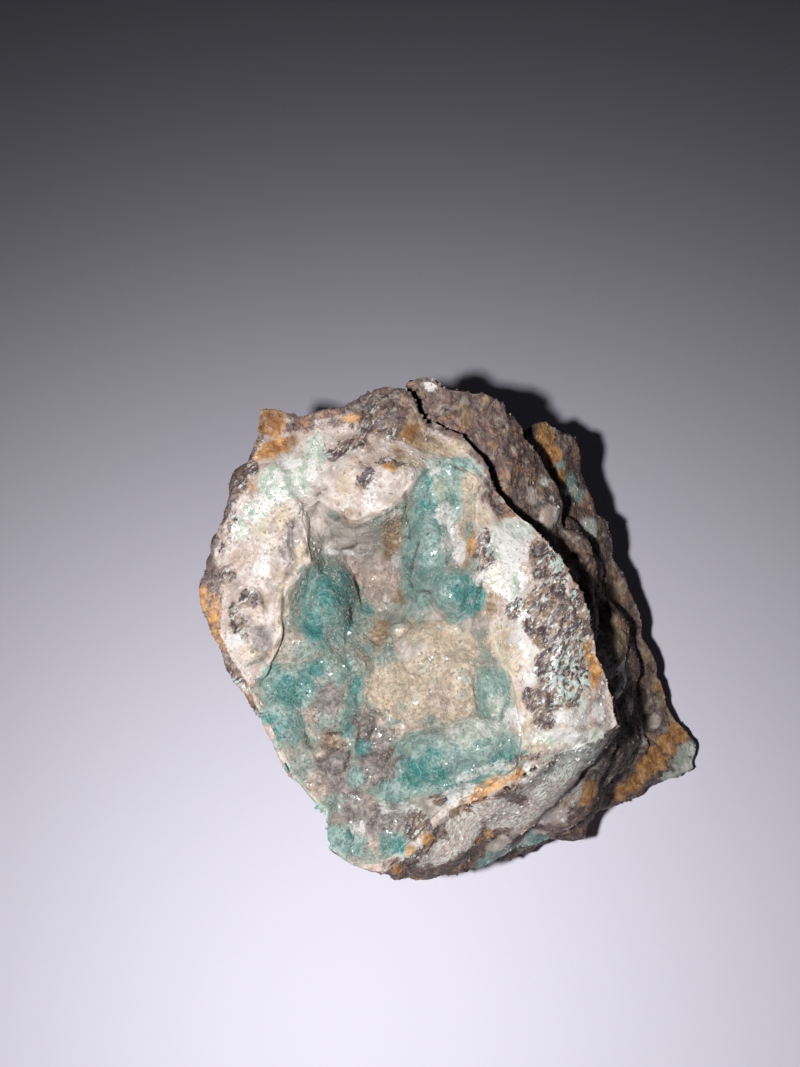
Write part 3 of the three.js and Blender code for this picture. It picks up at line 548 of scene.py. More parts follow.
def new_object(name, points, polygons, marks, material, smooth):
    """A mesh object from points of the modelling frame, with its marks as point attributes."""
    counts = np.concatenate([np.full(len(block), block.shape[1]) for block in polygons])
    loops = np.concatenate([block.ravel() for block in polygons])
    mesh = bpy.data.meshes.new(name)
    mesh.vertices.add(len(points))
    mesh.vertices.foreach_set("co", in_part(points).ravel())
    mesh.loops.add(len(loops))
    mesh.loops.foreach_set("vertex_index", loops.astype(np.int32))
    mesh.polygons.add(len(counts))
    starts = np.concatenate([[0], np.cumsum(counts)[:-1]])
    mesh.polygons.foreach_set("loop_start", starts.astype(np.int32))
    mesh.polygons.foreach_set("use_smooth", np.full(len(counts), smooth))
    mesh.update(calc_edges=True)
    for mark, values in marks.items():
        attribute = mesh.attributes.new(mark, "FLOAT", "POINT")
        attribute.data.foreach_set("value", np.asarray(values, np.float32).ravel())
    mesh.materials.append(material)
    piece = bpy.data.objects.new(name, mesh)
    bpy.context.collection.objects.link(piece)
    return piece


def skin_polygons(rings, columns):
    """Polygons of a closed skin whose first and last points are its poles, with rings between them."""
    ring = np.arange(columns)
    after = (ring + 1) % columns
    start = 1 + columns * np.arange(rings - 1)[:, None]
    quads = np.stack([start + ring, start + columns + ring, start + columns + after, start + after], -1)
    last = 1 + columns * (rings - 1)
    top = np.stack([np.zeros(columns, int), 1 + ring, 1 + after], -1)
    bottom = np.stack([last + after, last + ring, np.full(columns, last + columns)], -1)
    return [quads.reshape(-1, 4), top, bottom]


def closed(values):
    """Rows of a grid as one list, with the first and the last row, which are poles, taken once each."""
    inner = values[1:-1].reshape(-1, *values.shape[2:])
    return np.concatenate([values[:1, 0], inner, values[-1:, 0]])


def skin(name, rings, marks, material):
    """A smooth closed skin from rings of points, the first and the last of them its poles."""
    polygons = skin_polygons(len(rings) - 2, rings.shape[1])
    marks = {mark: closed(values) for mark, values in marks.items()}
    return new_object(name, closed(rings), polygons, marks, material, True)


# ---------------------------------------------------------------- shapes
def rim_height(degrees):
    """How far the break's edge lies below the face plane, and so the hollow's edge."""
    return np.minimum(0, around(BREAK_EDGE, degrees)[1])


def floor_height(degrees, share, a, b):
    """The hollow's floor: level less its basins, mixed towards the step at its edge by a power of the
    share."""
    deep = -HOLLOW_DEPTH - bells(BASINS, a, b)
    edge = share**HOLLOW_POWER
    return deep * (1 - edge) + (rim_height(degrees) - HOLLOW_SIDE) * edge


def break_height(a, b):
    """Height of the break over the face plane: its lumps on a share of the relief."""
    return RIM_RELIEF * relief(on_face(a, b, 0)) + bells(RIM_LUMPS, a, b)


def melted(first, second):
    """The larger of two heights, blended where they are close: the log of the sum of their powers of e."""
    return LOBE_MELT * np.logaddexp(first / LOBE_MELT, second / LOBE_MELT)


def lobe_height(a, b):
    """Top of the crust's lobes: each is its top less its drop times a power of the way to its foot.
    They melt together, and their outlines wander by a noise."""
    places = on_face(a, b, 0)
    a, b = a + 0.5 * fractal(places, 2.4, 2, 61), b + 0.5 * fractal(places, 2.4, 2, 66)
    height = np.full(np.broadcast(a, b).shape, -30.0)
    for *outline, top, drop in LOBES:
        height = melted(height, top - drop * ellipse(a, b, *outline) ** DOME_POWER)
    return height


def rock_rings(columns):
    """Rings of the rock from the hollow's middle to the foot's middle, and each ring's place: 0 on the
    hollow's floor, up to 1 across the rim, then one more for each stretch of the wall profiles. On the
    left the rim's lip reaches in over the crust, scalloped by knobs."""
    degrees, cos, sin = spokes(columns)
    inner = around(CRUST_EDGE, degrees)[0]
    outer, edge_height = around(BREAK_EDGE, degrees)
    edge = on_face(inner * cos, inner * sin, 0)
    knobs, _ = crystals(edge, LIP_KNOB, 53, rounded=True)
    lip = inner - np.clip(0.35 + 1.2 * knobs, 0, LIP_REACH) * sector(degrees, *LIP_SECTOR)
    rings, places = [], []
    for share in FLOOR_SHARES:
        a, b = inner * share * cos, inner * share * sin
        rings.append(on_face(a, b, floor_height(degrees, share, a, b)))
        places.append(0)
    for share in np.linspace(0, 1, RIM_ROWS + 1):
        reach = lip + (outer - lip) * share
        height = rim_height(degrees) * (1 - share) + edge_height * share
        a, b = reach * cos, reach * sin
        rings.append(on_face(a, b, height + break_height(a, b)))
        places.append(share)
    profile = np.stack(around(WALL_PROFILES, degrees), -1)
    foot = np.array(FOOT_CENTRE) + FOOT_INSET * (profile[:, 12:] - np.array(FOOT_CENTRE))
    foot = np.concatenate([foot, np.zeros((columns, 1))], 1)
    stops = [rings[-1]] + [profile[:, k : k + 3] for k in (0, 3, 6, 9)] + [foot]
    for k, rows in enumerate(WALL_ROWS):
        for share in np.arange(1, rows + 1) / rows:
            point = stops[k] + (stops[k + 1] - stops[k]) * share
            calm = np.minimum(point[:, 2] / FOOT_CALM, EDGE_CALM + (k + share) / FULL_RELIEF_AT)
            rings.append(weathered(point, np.minimum(1, calm)))
            places.append(1 + k + share)
    foot_middle = np.array([*FOOT_CENTRE, 0.0])
    for share in (0.25, 0.5, 0.75, 1):
        rings.append(foot + (foot_middle - foot) * share)
        places.append(FOOT_PLACE)
    return np.array(rings), np.array(places)


def weathered(points, share):
    """Wall points pushed away from the rock's core by the relief and the lumps, times a share."""
    push = relief(points)
    for x, y, z, radius, height in WALL_LUMPS:
        distance = np.linalg.norm(points - np.array([x, y, z]), axis=-1)
        push = push + height * np.exp(-((distance / radius) ** 2))
    away = points - np.array(BODY_CORE)
    away /= np.linalg.norm(away, axis=-1, keepdims=True)
    return points + away * (share * push)[..., None]


def crust_rings(columns):
    """Rings of the crust: lobes from the middle to the edge, then its back, which follows the hollow's
    floor. Its edge reaches past the seat gap into the rock, so that no seam shows."""
    degrees, cos, sin = spokes(columns)
    reach = around(CRUST_EDGE, degrees)[0] - SEAT_GAP + CRUST_OVERLAP
    rings = []
    for share in np.linspace(0, 1, CRUST_ROWS + 1):
        a, b = reach * share * cos, reach * share * sin
        thinnest = floor_height(degrees, share, a, b) + SEAT_GAP + CRUST_MIN
        top = melted(lobe_height(a, b) + CRUST_RELIEF * relief(on_face(a, b, 0)), thinnest)
        edge = rim_height(degrees) * EDGE_DROP - CRUST_LIP
        weight = share**EDGE_POWER
        rings.append(on_face(a, b, top * (1 - weight) + edge * weight))
    for share in FLOOR_SHARES[::-1]:
        a, b = reach * share * cos, reach * share * sin
        rings.append(on_face(a, b, floor_height(degrees, share, a, b) + SEAT_GAP))
    return np.array(rings)


# ---------------------------------------------------------------- shader maths
class Signal:
    """An output of a material's node tree. Arithmetic on it adds Math nodes."""

    def __init__(self, graph, socket):
        self.graph = graph
        self.socket = socket

    def maths(self, operation, first, second):
        return self.graph.node("ShaderNodeMath", {"operation": operation}, {0: first, 1: second})

    def __add__(self, other):
        return self.maths("ADD", self, other)

    def __sub__(self, other):
        return self.maths("SUBTRACT", self, other)

    def __rsub__(self, other):
        return self.maths("SUBTRACT", other, self)

    def __mul__(self, other):
        return self.maths("MULTIPLY", self, other)

    __radd__ = __add__

    def step(self, low, high):
        """0 below low, 1 above high, smooth between."""
        settings = {"interpolation_type": "SMOOTHSTEP"}
        inputs = {"Value": self, "From Min": low, "From Max": high}
        return self.graph.node("ShaderNodeMapRange", settings, inputs)


class Graph:
    """A new material's node tree, with a Principled shader. Sizes are in millimetres."""

    def __init__(self, name):
        self.material = bpy.data.materials.new(name)
        self.material.use_nodes = True
        self.tree = self.material.node_tree
        self.shader = self.tree.nodes["Principled BSDF"]
        self.place = self.node("ShaderNodeTexCoord", {}, {}, "Object")

    def node(self, kind, settings, inputs, output=0):
        """A node of a type, its settings, and the values or links of its sockets; gives one output."""
        node = self.tree.nodes.new(kind)
        for key, value in settings.items():
            setattr(node, key, value)
        for key, value in inputs.items():
            self.feed(node.inputs[key], value)
        return Signal(self, node.outputs[output])

    def feed(self, socket, value):
        if isinstance(value, Signal):
            self.tree.links.new(value.socket, socket)
        else:
            socket.default_value = value

    def mark(self, name):
        return self.node("ShaderNodeAttribute", {"attribute_name": name}, {}, "Fac")

    def noise(self, size, detail=3, at=None, output="Fac"):
        inputs = {"Vector": at or self.place, "Scale": 1 / (size * MM), "Detail": detail}
        return self.node("ShaderNodeTexNoise", {}, inputs, output)

    def cells(self, size, feature="F1", output="Distance", at=None):
        inputs = {"Vector": at or self.place, "Scale": 1 / (size * MM)}
        return self.node("ShaderNodeTexVoronoi", {"feature": feature}, inputs, output)

    def shade(self, size, bend, amount):
        """A random number for each cell, with bent edges."""
        cells = self.cells(size, "F1", "Color", self.warped(bend, amount))
        return self.node("ShaderNodeSeparateColor", {}, {"Color": cells})

    def warped(self, size, amount):
        """The place, moved about by a noise."""
        moved = {0: self.noise(size, 2, output="Color"), 1: (0.5,) * 3}
        centred = self.node("ShaderNodeVectorMath", {"operation": "SUBTRACT"}, moved)
        inputs = {0: centred, 1: (2 * amount * MM,) * 3, 2: self.place}
        return self.node("ShaderNodeVectorMath", {"operation": "MULTIPLY_ADD"}, inputs)

    def streaked(self, stretch, lean):
        """The place, moved about and squeezed along a leaning line up the break: textures are drawn out."""
        inputs = {"Vector": self.warped(2.2, 0.7), "Rotation": (FACE_TILT, 0, lean)}
        inputs["Scale"] = (1, stretch, 1)
        return self.node("ShaderNodeMapping", {"vector_type": "TEXTURE"}, inputs)

    def mix(self, factor, first, second):
        """Colour mix: the second colour where the factor is 1."""
        inputs = {0: factor, 6: colour(first), 7: colour(second)}
        return self.node("ShaderNodeMix", {"data_type": "RGBA"}, inputs, 2)

    def layers(self, body, *layers):
        """The first colour with the others over it in turn, each as much as its factor says."""
        for factor, tint in layers:
            body = self.mix(factor, body, tint)
        return body

    def bump(self, height, distance, strength):
        inputs = {"Height": height, "Distance": distance * MM, "Strength": strength}
        return self.node("ShaderNodeBump", {}, inputs, "Normal")

    def finish(self, constants, varying):
        for name, value in constants.items():
            self.shader.inputs[name].default_value = value
        for name, value in varying.items():
            self.feed(self.shader.inputs[name], value)
        return self.material


def colour(value):
    """A colour as four numbers; a signal stays as it is."""
    return value if isinstance(value, Signal) else (*value, 1.0)


# ---------------------------------------------------------------- finishes
def stone_colour(g):
    """Taupe stone: purplish and brown ribs drawn out down the slope, pale blotches, rust, black cracks."""
    wide, fine, grit = g.noise(3.2), g.noise(0.8), g.noise(0.3, 2)
    ribs = g.noise(0.8, 3, g.streaked(3.5, 0.15))
    crack_and_shadow_line = g.cells(2.8, "DISTANCE_TO_EDGE", at=g.warped(1.5, 0.9))
    return g.layers(
        (0.095, 0.061, 0.057),
        (g.shade(2.2, 1.5, 0.9), (0.190, 0.122, 0.108)),
        (wide.step(0.40, 0.62) * 0.7, (0.165, 0.098, 0.080)),
        ((1 - ribs.step(0.42, 0.62)) * 0.75, (0.075, 0.053, 0.050)),
        (fine.step(0.50, 0.70) * 0.45, (0.285, 0.205, 0.180)),
        (grit.step(0.60, 0.74) * 0.35, (0.33, 0.27, 0.25)),
        ((wide + fine).step(1.08, 1.24) * 0.7, (0.32, 0.165, 0.085)),
        ((1 - fine).step(0.60, 0.74) * 0.8, (0.030, 0.021, 0.019)),
        ((1 - crack_and_shadow_line.step(0.0, 0.045)) * 0.8, (0.016, 0.011, 0.010)),
    )


def milk_colour(g):
    """Milky ground of the druse: grey-green, beige and pinkish clouds."""
    return g.layers(
        (0.175, 0.240, 0.210),
        (g.noise(1.3).step(0.35, 0.65), (0.265, 0.285, 0.25)),
        (g.noise(2.2).step(0.46, 0.66) * 0.8, (0.285, 0.240, 0.20)),
        (g.noise(0.35).step(0.5, 0.7) * 0.2, (0.40, 0.40, 0.37)),
    )


def mineral_colour(g, finish, ground):
    """The ground with each mineral over it where its mark says, then the cracks and painted shadow lines, a
    random tone for each crystal, lighter for some and darker for others, and painted shade in the hollows."""
    wide, fine, grit, grain = g.noise(2.4), g.noise(0.8), g.noise(0.28, 2), g.mark("grain")
    cloud, block = g.noise(1.4), g.shade(1.1, 1.2, 0.5)
    soft = (cloud - 0.5) * 1.0 + (fine - 0.5) * 0.5 + (block - 0.5) * 0.5
    hard = (grit - 0.5) * 1.0 + (fine - 0.5) * 0.9
    mottled, even = fine.step(0.35, 0.65), fine.step(0.4, 0.65)
    dim = (1 - cloud).step(0.52, 0.66) * 0.5

    def share(name, ragged, strength=1.0, width=0.25):
        """How much of a mineral shows: its mark with a ragged edge, of some width either side of a half."""
        return (g.mark(name) + ragged).step(0.5 - width, 0.5 + width) * strength

    pale = g.layers(
        finish.calcite,
        (fine.step(0.38, 0.62), (0.50, 0.45, 0.43)),
        (wide.step(0.44, 0.60) * 0.85, (0.38, 0.285, 0.24)),
        ((1 - cloud).step(0.56, 0.68) * 0.5, (0.30, 0.245, 0.22)),
    )
    tan = g.layers(
        finish.tan,
        (mottled, (0.50, 0.415, 0.325)),
        (wide.step(0.5, 0.7) * 0.5, (0.45, 0.34, 0.24)),
        (dim, (0.37, 0.375, 0.315)),
    )
    mint = g.layers(
        finish.mint,
        (fine.step(0.4, 0.6), (0.50, 0.505, 0.475)),
        (wide.step(0.52, 0.64) * 0.6, (0.30, 0.36, 0.30)),
    )
    rust = g.layers(
        finish.orange,
        (mottled, (0.50, 0.27, 0.10)),
        (grit.step(0.60, 0.72) * 0.5, (0.15, 0.065, 0.025)),
        (g.mark("brown") * 0.8, (0.14, 0.055, 0.016)),
    )
    return g.layers(
        ground,
        (share("cream", hard * 0.5), pale),
        (share("stone", hard), stone_colour(g)),
        (share("tan", soft, width=0.4), tan),
        (share("pink", soft, width=0.35), g.mix(even, (0.33, 0.245, 0.21), (0.47, 0.385, 0.34))),
        (share("ash", soft, width=0.35), g.mix(even, (0.150, 0.128, 0.125), (0.275, 0.228, 0.220))),
        (share("clear", soft, 0.9, 0.45),
            g.mix(cloud.step(0.35, 0.65), (0.28, 0.24, 0.225), (0.50, 0.435, 0.405))),
        (share("brown", soft, width=0.4), g.mix(even, (0.19, 0.125, 0.075), (0.34, 0.245, 0.16))),
        (share("green", soft, width=0.35), green_colour(g, finish, block)),
        (share("mint", hard * 0.7, width=0.35), mint),
        # white mineral, and painted glints and highlights
        (share("white_and_glint", hard, 0.85), (0.58, 0.565, 0.56)),
        (share("gravel", hard), gravel_colour(g)),
        (share("dark", hard * 0.7, width=0.15), dark_colour(g, grit)),
        (share("orange", hard * 0.7, 0.95), rust),
        # painted shadow lines: cracks and creases, and the shadows under ledges, beside the tall lobe and
        # along the pocket's edge, drawn dark
        (g.mark("crack_and_shadow_line").step(0.6, 1.0) * 0.75, (0.07, 0.052, 0.040)),
        ((grain - 0.5).step(0.0, 0.5) * 0.12, (0.62, 0.62, 0.60)),
        ((0.5 - grain).step(0.0, 0.5) * 0.08, (0.05, 0.045, 0.04)),
        # painted shade: near black where the hollow mark is, in the undercut, in crevices and in the gaps
        # between blocks and lumps
        (g.mark("hollow") * 0.7, (0.022, 0.019, 0.016)),
    )


def gravel_colour(g):
    """Chalky band below the rim: pinkish and pale streaks with mint and dark flecks, and all mint where
    marked."""
    flecks = g.noise(0.22, 2, g.streaked(1.8, -0.8))
    return g.layers(
        (0.40, 0.325, 0.295),
        (g.noise(0.5, 3, g.streaked(3.0, -0.6)).step(0.40, 0.62), (0.56, 0.475, 0.44)),
        (flecks.step(0.53, 0.63) * 0.9, (0.56, 0.69, 0.63)),
        ((1 - flecks).step(0.57, 0.68) * 0.75, (0.19, 0.145, 0.13)),
        (g.mark("mint") * flecks.step(0.40, 0.55), (0.80, 0.90, 0.86)),
    )


def dark_colour(g, grit):
    """Dark crust of the rim: mauve and brown streaks, pale threads, mint lines and black pits."""
    streaks = g.noise(0.5, 3, g.streaked(3.0, -0.6))
    threads = g.noise(0.3, 2, g.streaked(4.0, -0.75)) + g.mark("mint") * 0.09
    lines = g.noise(0.42, 3, g.streaked(2.6, -0.85)) + g.mark("mint") * 0.12
    return g.layers(
        (0.070, 0.050, 0.056),
        (streaks.step(0.46, 0.58), (0.225, 0.150, 0.105)),
        (threads.step(0.57, 0.66), (0.43, 0.375, 0.38)),
        (lines.step(0.60, 0.67) * 0.9, (0.42, 0.53, 0.505)),
        ((1 - grit).step(0.58, 0.70) * 0.7, (0.035, 0.024, 0.026)),
    )


def green_colour(g, finish, block):
    """Teal druse: blocks and clouds from pale to deep, deepest where marked, with pale veins between."""
    bands, cloud = g.noise(1.0, 2, g.warped(1.8, 1.1)), g.noise(2.3, 2)
    vein = g.cells(1.7, "DISTANCE_TO_EDGE", at=g.warped(1.2, 0.6))
    # deep teal where marked; on the tall lobe's right side this is painted shade
    deep = g.mark("deep").step(0.1, 0.8) * 0.85 + (cloud + bands).step(1.12, 1.3) * 0.3
    return g.layers(
        (0.235, 0.325, 0.300),
        (cloud.step(0.36, 0.60), finish.green),
        (block.step(0.2, 0.9) * 0.35, (0.20, 0.300, 0.280)),
        (bands.step(0.48, 0.62) * 0.45, (0.090, 0.220, 0.205)),
        (deep, (0.028, 0.175, 0.165)),
        ((1 - bands).step(0.55, 0.68) * 0.3, (0.36, 0.42, 0.40)),
        ((1 - vein.step(0.0, 0.05)) * 0.25, (0.44, 0.49, 0.47)),
    )


def rock_material(finish, name):
    """Limonite and calcite rock: stone with minerals over it, rough but for the sugary calcite."""
    g = Graph(name)
    fine, grit = g.noise(0.8), g.noise(0.25, 2)
    shine = g.mark("cream") * 0.25 + g.mark("mint") * 0.3 + g.mark("white_and_glint") * 0.3
    calm = g.mark("cream") * 0.45 + g.mark("gravel") * 0.4
    height = (grit * 0.7 + fine * 0.8 + g.cells(0.45) * 0.6) * (1 - calm)
    varying = {
        "Base Color": mineral_colour(g, finish, stone_colour(g)),
        "Roughness": 0.78 - shine + (grit - 0.5) * 0.5,
        "Normal": g.bump(height, 0.16, 0.9),
    }
    constants = {
        "IOR": 1.5, "Subsurface Weight": 0.15, "Subsurface Radius": (1.0, 0.8, 0.7),
        "Subsurface Scale": 0.7 * MM,
    }
    return g.finish(constants, varying)


def druse_material(finish, name, sharp):
    """Druse: milky, lit through a little, with a glassy skin that varies from crystal to crystal."""
    g = Graph(name)
    grain, grit, cloud = g.mark("grain"), g.noise(0.2, 2), g.noise(1.5)
    constants = {
        "IOR": 1.5, "Subsurface Weight": 0.7, "Subsurface Radius": (0.9, 1.0, 0.9),
        "Subsurface Scale": 1.1 * MM, "Coat Roughness": 0.16,
    }
    winding = g.noise(0.5, 2, g.warped(1.2, 0.5)) - 0.5
    height = grit * 0.8 + g.cells(0.4) * 0.7 - (winding * winding) * (3 + g.mark("deep") * 10)
    varying = {
        "Base Color": mineral_colour(g, finish, milk_colour(g)),
        "Roughness": 0.46 + grain * 0.22 - (cloud - 0.5) * 0.3,
        "Coat Weight": grain.step(0.64, 0.95) * 0.85 + g.mark("clear") * 0.25,
        "Normal": g.bump(height, 0.13, sharp),
    }
    return g.finish(constants, varying)


# ---------------------------------------------------------------- properties
class NoduleSizes(bpy.types.PropertyGroup):
    """Sizes a user would change."""

    columns: bpy.props.IntProperty(
        name="Columns", description="Facets round the rock and the crust", default=640, min=64)
    grain: bpy.props.FloatProperty(
        name="Crystal size", description="Width of a common crystal of the druse", default=0.55 * MM,
        unit="LENGTH", precision=5)
    relief: bpy.props.FloatProperty(
        name="Rock relief", description="Depth of the breaks between the rock's blocks", default=0.9 * MM,
        unit="LENGTH", precision=5)
    druse: bpy.props.IntProperty(
        name="Druse", description="Single crystals that stand on the crust", default=9000, min=0)
    grit: bpy.props.IntProperty(
        name="Grit", description="Single grains on the rock", default=12000, min=0)


class NoduleFinish(bpy.types.PropertyGroup):
    """Main colours of the minerals."""

    green: bpy.props.FloatVectorProperty(
        name="Green", description="Blue-green lobes", default=(0.125, 0.220, 0.202), subtype="COLOR")
    tan: bpy.props.FloatVectorProperty(
        name="Tan", description="Tan lobes", default=(0.365, 0.290, 0.215), subtype="COLOR")
    calcite: bpy.props.FloatVectorProperty(
        name="Calcite", description="Pale rim", default=(0.43, 0.36, 0.335), subtype="COLOR")
    mint: bpy.props.FloatVectorProperty(
        name="Mint", description="Mint-coloured rim", default=(0.33, 0.39, 0.33), subtype="COLOR")
    orange: bpy.props.FloatVectorProperty(
        name="Rust", description="Orange limonite", default=(0.26, 0.105, 0.025), subtype="COLOR")


# ---------------------------------------------------------------- operators
def place_piece(piece, slot, *nodes):
    """Rides a piece on the part's one body and hides the nodes that it stands for. The slot is not used."""
    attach(piece, "root")
    if nodes:
        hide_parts(*nodes)


class NODULE_OT_rock(bpy.types.Operator):
    """Builds the rock: its shape's grid, cut by blocks, grains and noise, and the single grains on it"""

    bl_idname = "nodule.rock"
    bl_label = "Build rock"

    def execute(self, context):
        sizes, finish = context.scene.nodule_sizes, context.scene.nodule_finish
        rings, places = rock_rings(sizes.columns)
        normals = grid_normals(rings)
        normals[0], normals[-1] = face_direction(0, 0, 1), (0, 0, -1)
        wall = np.clip((places - 0.9) / 0.4, 0, 1)[:, None]
        marks = rock_marks(rings, places)
        height, marks["grain"], blocks = rock_surface(rings, wall, marks, sizes.relief / MM)
        # painted shade: the shade painted between blocks, knobs and lumps joins the painted shadow of the
        # undercut
        marks["hollow"] = np.maximum(marks["hollow"], blocks)
        shown = np.clip(places * 20, 0, 1)[:, None] * (places < FOOT_PLACE)[:, None]
        foot = np.clip(rings[..., 2] / 2, 0, 1)
        rings = rings + normals * (height * shown * foot)[..., None]
        rings[..., 2] = np.maximum(rings[..., 2], 0)
        place_piece(skin("matrix_stone", rings, marks, rock_material(finish, "rock")), "rock", "matrix")
        chance = shown * np.clip(rings[..., 2] / 3 - 0.15, 0, 1)
        chance = chance * (1 - 0.6 * marks["hollow"]) * (1 - 0.8 * marks["gravel"])
        chance = chance * (1 + 2 * (places < 1.3)[:, None])
        grains = scattered(rings, marks, chance, sizes.grit, 301)
        material = rock_material(finish, "grit")
        piece = rhombs("rock_grains", grains, GRAIN_HALVES, GRAIN_LEAN, GRAIN_SUNK, material)
        place_piece(piece, "rock")
        return {"FINISHED"}


def rock_marks(rings, places):
    """Minerals of the rock: calcite on the break but for a thin rind along part of its outer edge,
    calcite and green over the lip at the front, painted shadow (the hollow mark) where the walls are
    undercut on the right, and knobs beside the crust on the left."""
    degrees = spokes(rings.shape[1])[0]
    a, b, n = face_place(rings)
    on_break = np.clip((n + 4) / 2.5, 0, 1)
    marks = mineral_marks(rings, on_break)
    inset = around(BREAK_EDGE, degrees)[0] - np.hypot(a, b) - 0.35 * fractal(rings, 1.6, 3, 81)
    rind = sector(degrees, *RIND_SECTOR)
    break_share = np.clip((inset - 0.5 * rind) / 0.5 + 1 - rind, 0, 1)
    break_share = break_share * np.clip((1.15 - places) / 0.1, 0, 1)[:, None]
    marks["cream"] = np.maximum(marks["cream"], break_share)
    lip = np.clip((1.9 - places) / 0.4, 0, 1)[:, None] * sector(degrees, *FRONT_SECTOR)
    marks["cream"] = np.maximum(marks["cream"], lip)
    marks["green"] = np.maximum(marks["green"], lip * np.clip(0.5 + fractal(rings, 3, 2, 85), 0, 1))
    # painted shadow: the hollow mark darkens the walls undercut on the right, where the lamp's shadow falls
    # under the break's edge
    depth = np.clip((places - 1.03) / 0.1, 0, 1) * np.clip((2.25 - places) / 0.5, 0, 1)
    marks["hollow"] = sector(degrees, *UNDERCUT_SECTOR) * depth[:, None]
    gap = np.hypot(a, b) - around(CRUST_EDGE, degrees)[0]
    marks["knob"] = np.clip(1.3 - gap / 1.2, 0, 1) * sector(degrees, *KNOB_SECTOR) * break_share
    return marks


def rock_surface(points, wall, marks, relief_mm):
    """Height, grain and hollow marks of the rock's surface; the hollow mark is painted shade in the
    breaks between the small blocks, between the dark crust's knobs and between the calcite's lumps.
    Walls are cut into large and small blocks, drawn out down the slope; calcite has soft lumps and
    sugary grains; dark crusts have knobs, drawn out on the right."""
    large, _ = crystals(points, ROCK_BLOCK, 11)
    ribs, _ = crystals(drawn_out(points, 100, 2.4), ROCK_RIB, 23)
    sugar, grain = crystals(points, SUGAR, 37)
    lumps, _ = crystals(points, CALCITE_LUMP, 43, rounded=True)
    knobs, _ = crystals(points, DARK_KNOB, 41, 1.3, rounded=True)
    streaks, _ = crystals(drawn_out(points, 56, 3), DARK_STREAK, 47, rounded=True)
    right = np.clip(face_place(points)[0] / 2 - 5, 0, 1)
    knobs = knobs * (1 - right) + streaks * right
    pale = marks["cream"] * (1 - marks["dark"]) * (1 - wall)
    rough = wall * (1 - 0.6 * marks["gravel"])
    height = rough * relief_mm * (0.9 * large + 0.45 * ribs) + 0.13 * fractal(points, 2.4, 4, 71)
    height = height + 0.1 * (sugar + 0.2) * (1 - 0.4 * wall) + 0.4 * pale * (lumps - 0.1)
    height = height + marks["dark"] * 0.5 * (knobs + 0.1) + marks["gravel"] * 0.12 * streaks
    height = height + 0.9 * marks["knob"] * (lumps + 0.3) - 0.35 * marks["crack_and_shadow_line"]
    # painted shade: dark in the breaks between ribs, knobs and lumps
    hollow = np.clip(-(ribs + 0.3) * 1.4, 0, 0.7) * rough * (1 - marks["gravel"])
    hollow = hollow + np.clip(-(knobs + 0.15) * 2, 0, 0.6) * marks["dark"]
    hollow = hollow + np.clip(-(lumps + 0.1) * 1.5, 0, 0.5) * pale * 0.5
    return height, grain, np.clip(hollow, 0, 1)


class NODULE_OT_crust(bpy.types.Operator):
    """Builds the crust that lines the hollow, and the crystals that stand on it"""

    bl_idname = "nodule.crust"
    bl_label = "Build crust"

    def execute(self, context):
        sizes, finish = context.scene.nodule_sizes, context.scene.nodule_finish
        rings = crust_rings(sizes.columns)
        normals = grid_normals(rings)
        normals[0], normals[-1] = face_direction(0, 0, 1), face_direction(0, 0, -1)
        front = np.clip((CRUST_ROWS - np.arange(len(rings))) / 5, 0, 1)[:, None]
        marks = mineral_marks(rings, 1.0)
        height, marks["grain"], marks["hollow"] = crust_surface(rings, marks, sizes.grain / MM)
        rings = rings + normals * (height * front)[..., None]
        piece = skin("druse_crust", rings, marks, druse_material(finish, "druse", 0.8))
        place_piece(piece, "druse", "crystal_crust")
        chance = front * (1 - 0.9 * marks["clear"]) * (1 - 0.3 * marks["tan"])
        grains = scattered(rings, marks, chance, sizes.druse, 311)
        material = druse_material(finish, "druse_tips", 0.3)
        piece = rhombs("druse_crystals", grains, DRUSE_HALVES, DRUSE_LEAN, DRUSE_SUNK, material)
        place_piece(piece, "druse")
        return {"FINISHED"}


def crust_surface(points, marks, grain_mm):
    """Height, grain and hollow marks of the crust: soft swells, then winding ridges, then crystals,
    and large smooth blocks in the clear pocket. The hollow mark is painted shade in the valleys
    between the ridges and between the pocket's blocks."""
    blocks, _ = crystals(points, POCKET_BLOCK, 5, rounded=True)
    druse, grain = crystals(points, grain_mm, 7)
    small, _ = crystals(points, grain_mm * 0.5, 9)
    winding = points + np.stack([0.7 * noise(points, 2.2, 91 + k) for k in range(3)], -1)
    ridges = 1 - np.abs(fractal(winding, CRUST_RIDGE, 2, 95))
    smooth = 1 - 0.7 * marks["clear"]
    height = 0.2 * fractal(points, CRUST_SWELL, 3, 15) + 0.14 * ridges * smooth
    height = height + smooth * grain_mm * (0.17 * (druse + 0.4) + 0.14 * (small + 0.4))
    height = height + 0.6 * marks["clear"] * (blocks + 0.1) - 0.35 * marks["crack_and_shadow_line"]
    # painted shade in the valleys between ridges and between the pocket's blocks
    hollow = 0.5 * np.clip(0.4 - ridges, 0, 1) + marks["clear"] * np.clip(-(blocks + 0.2), 0, 0.35)
    return height, grain, np.clip(hollow, 0, 1)


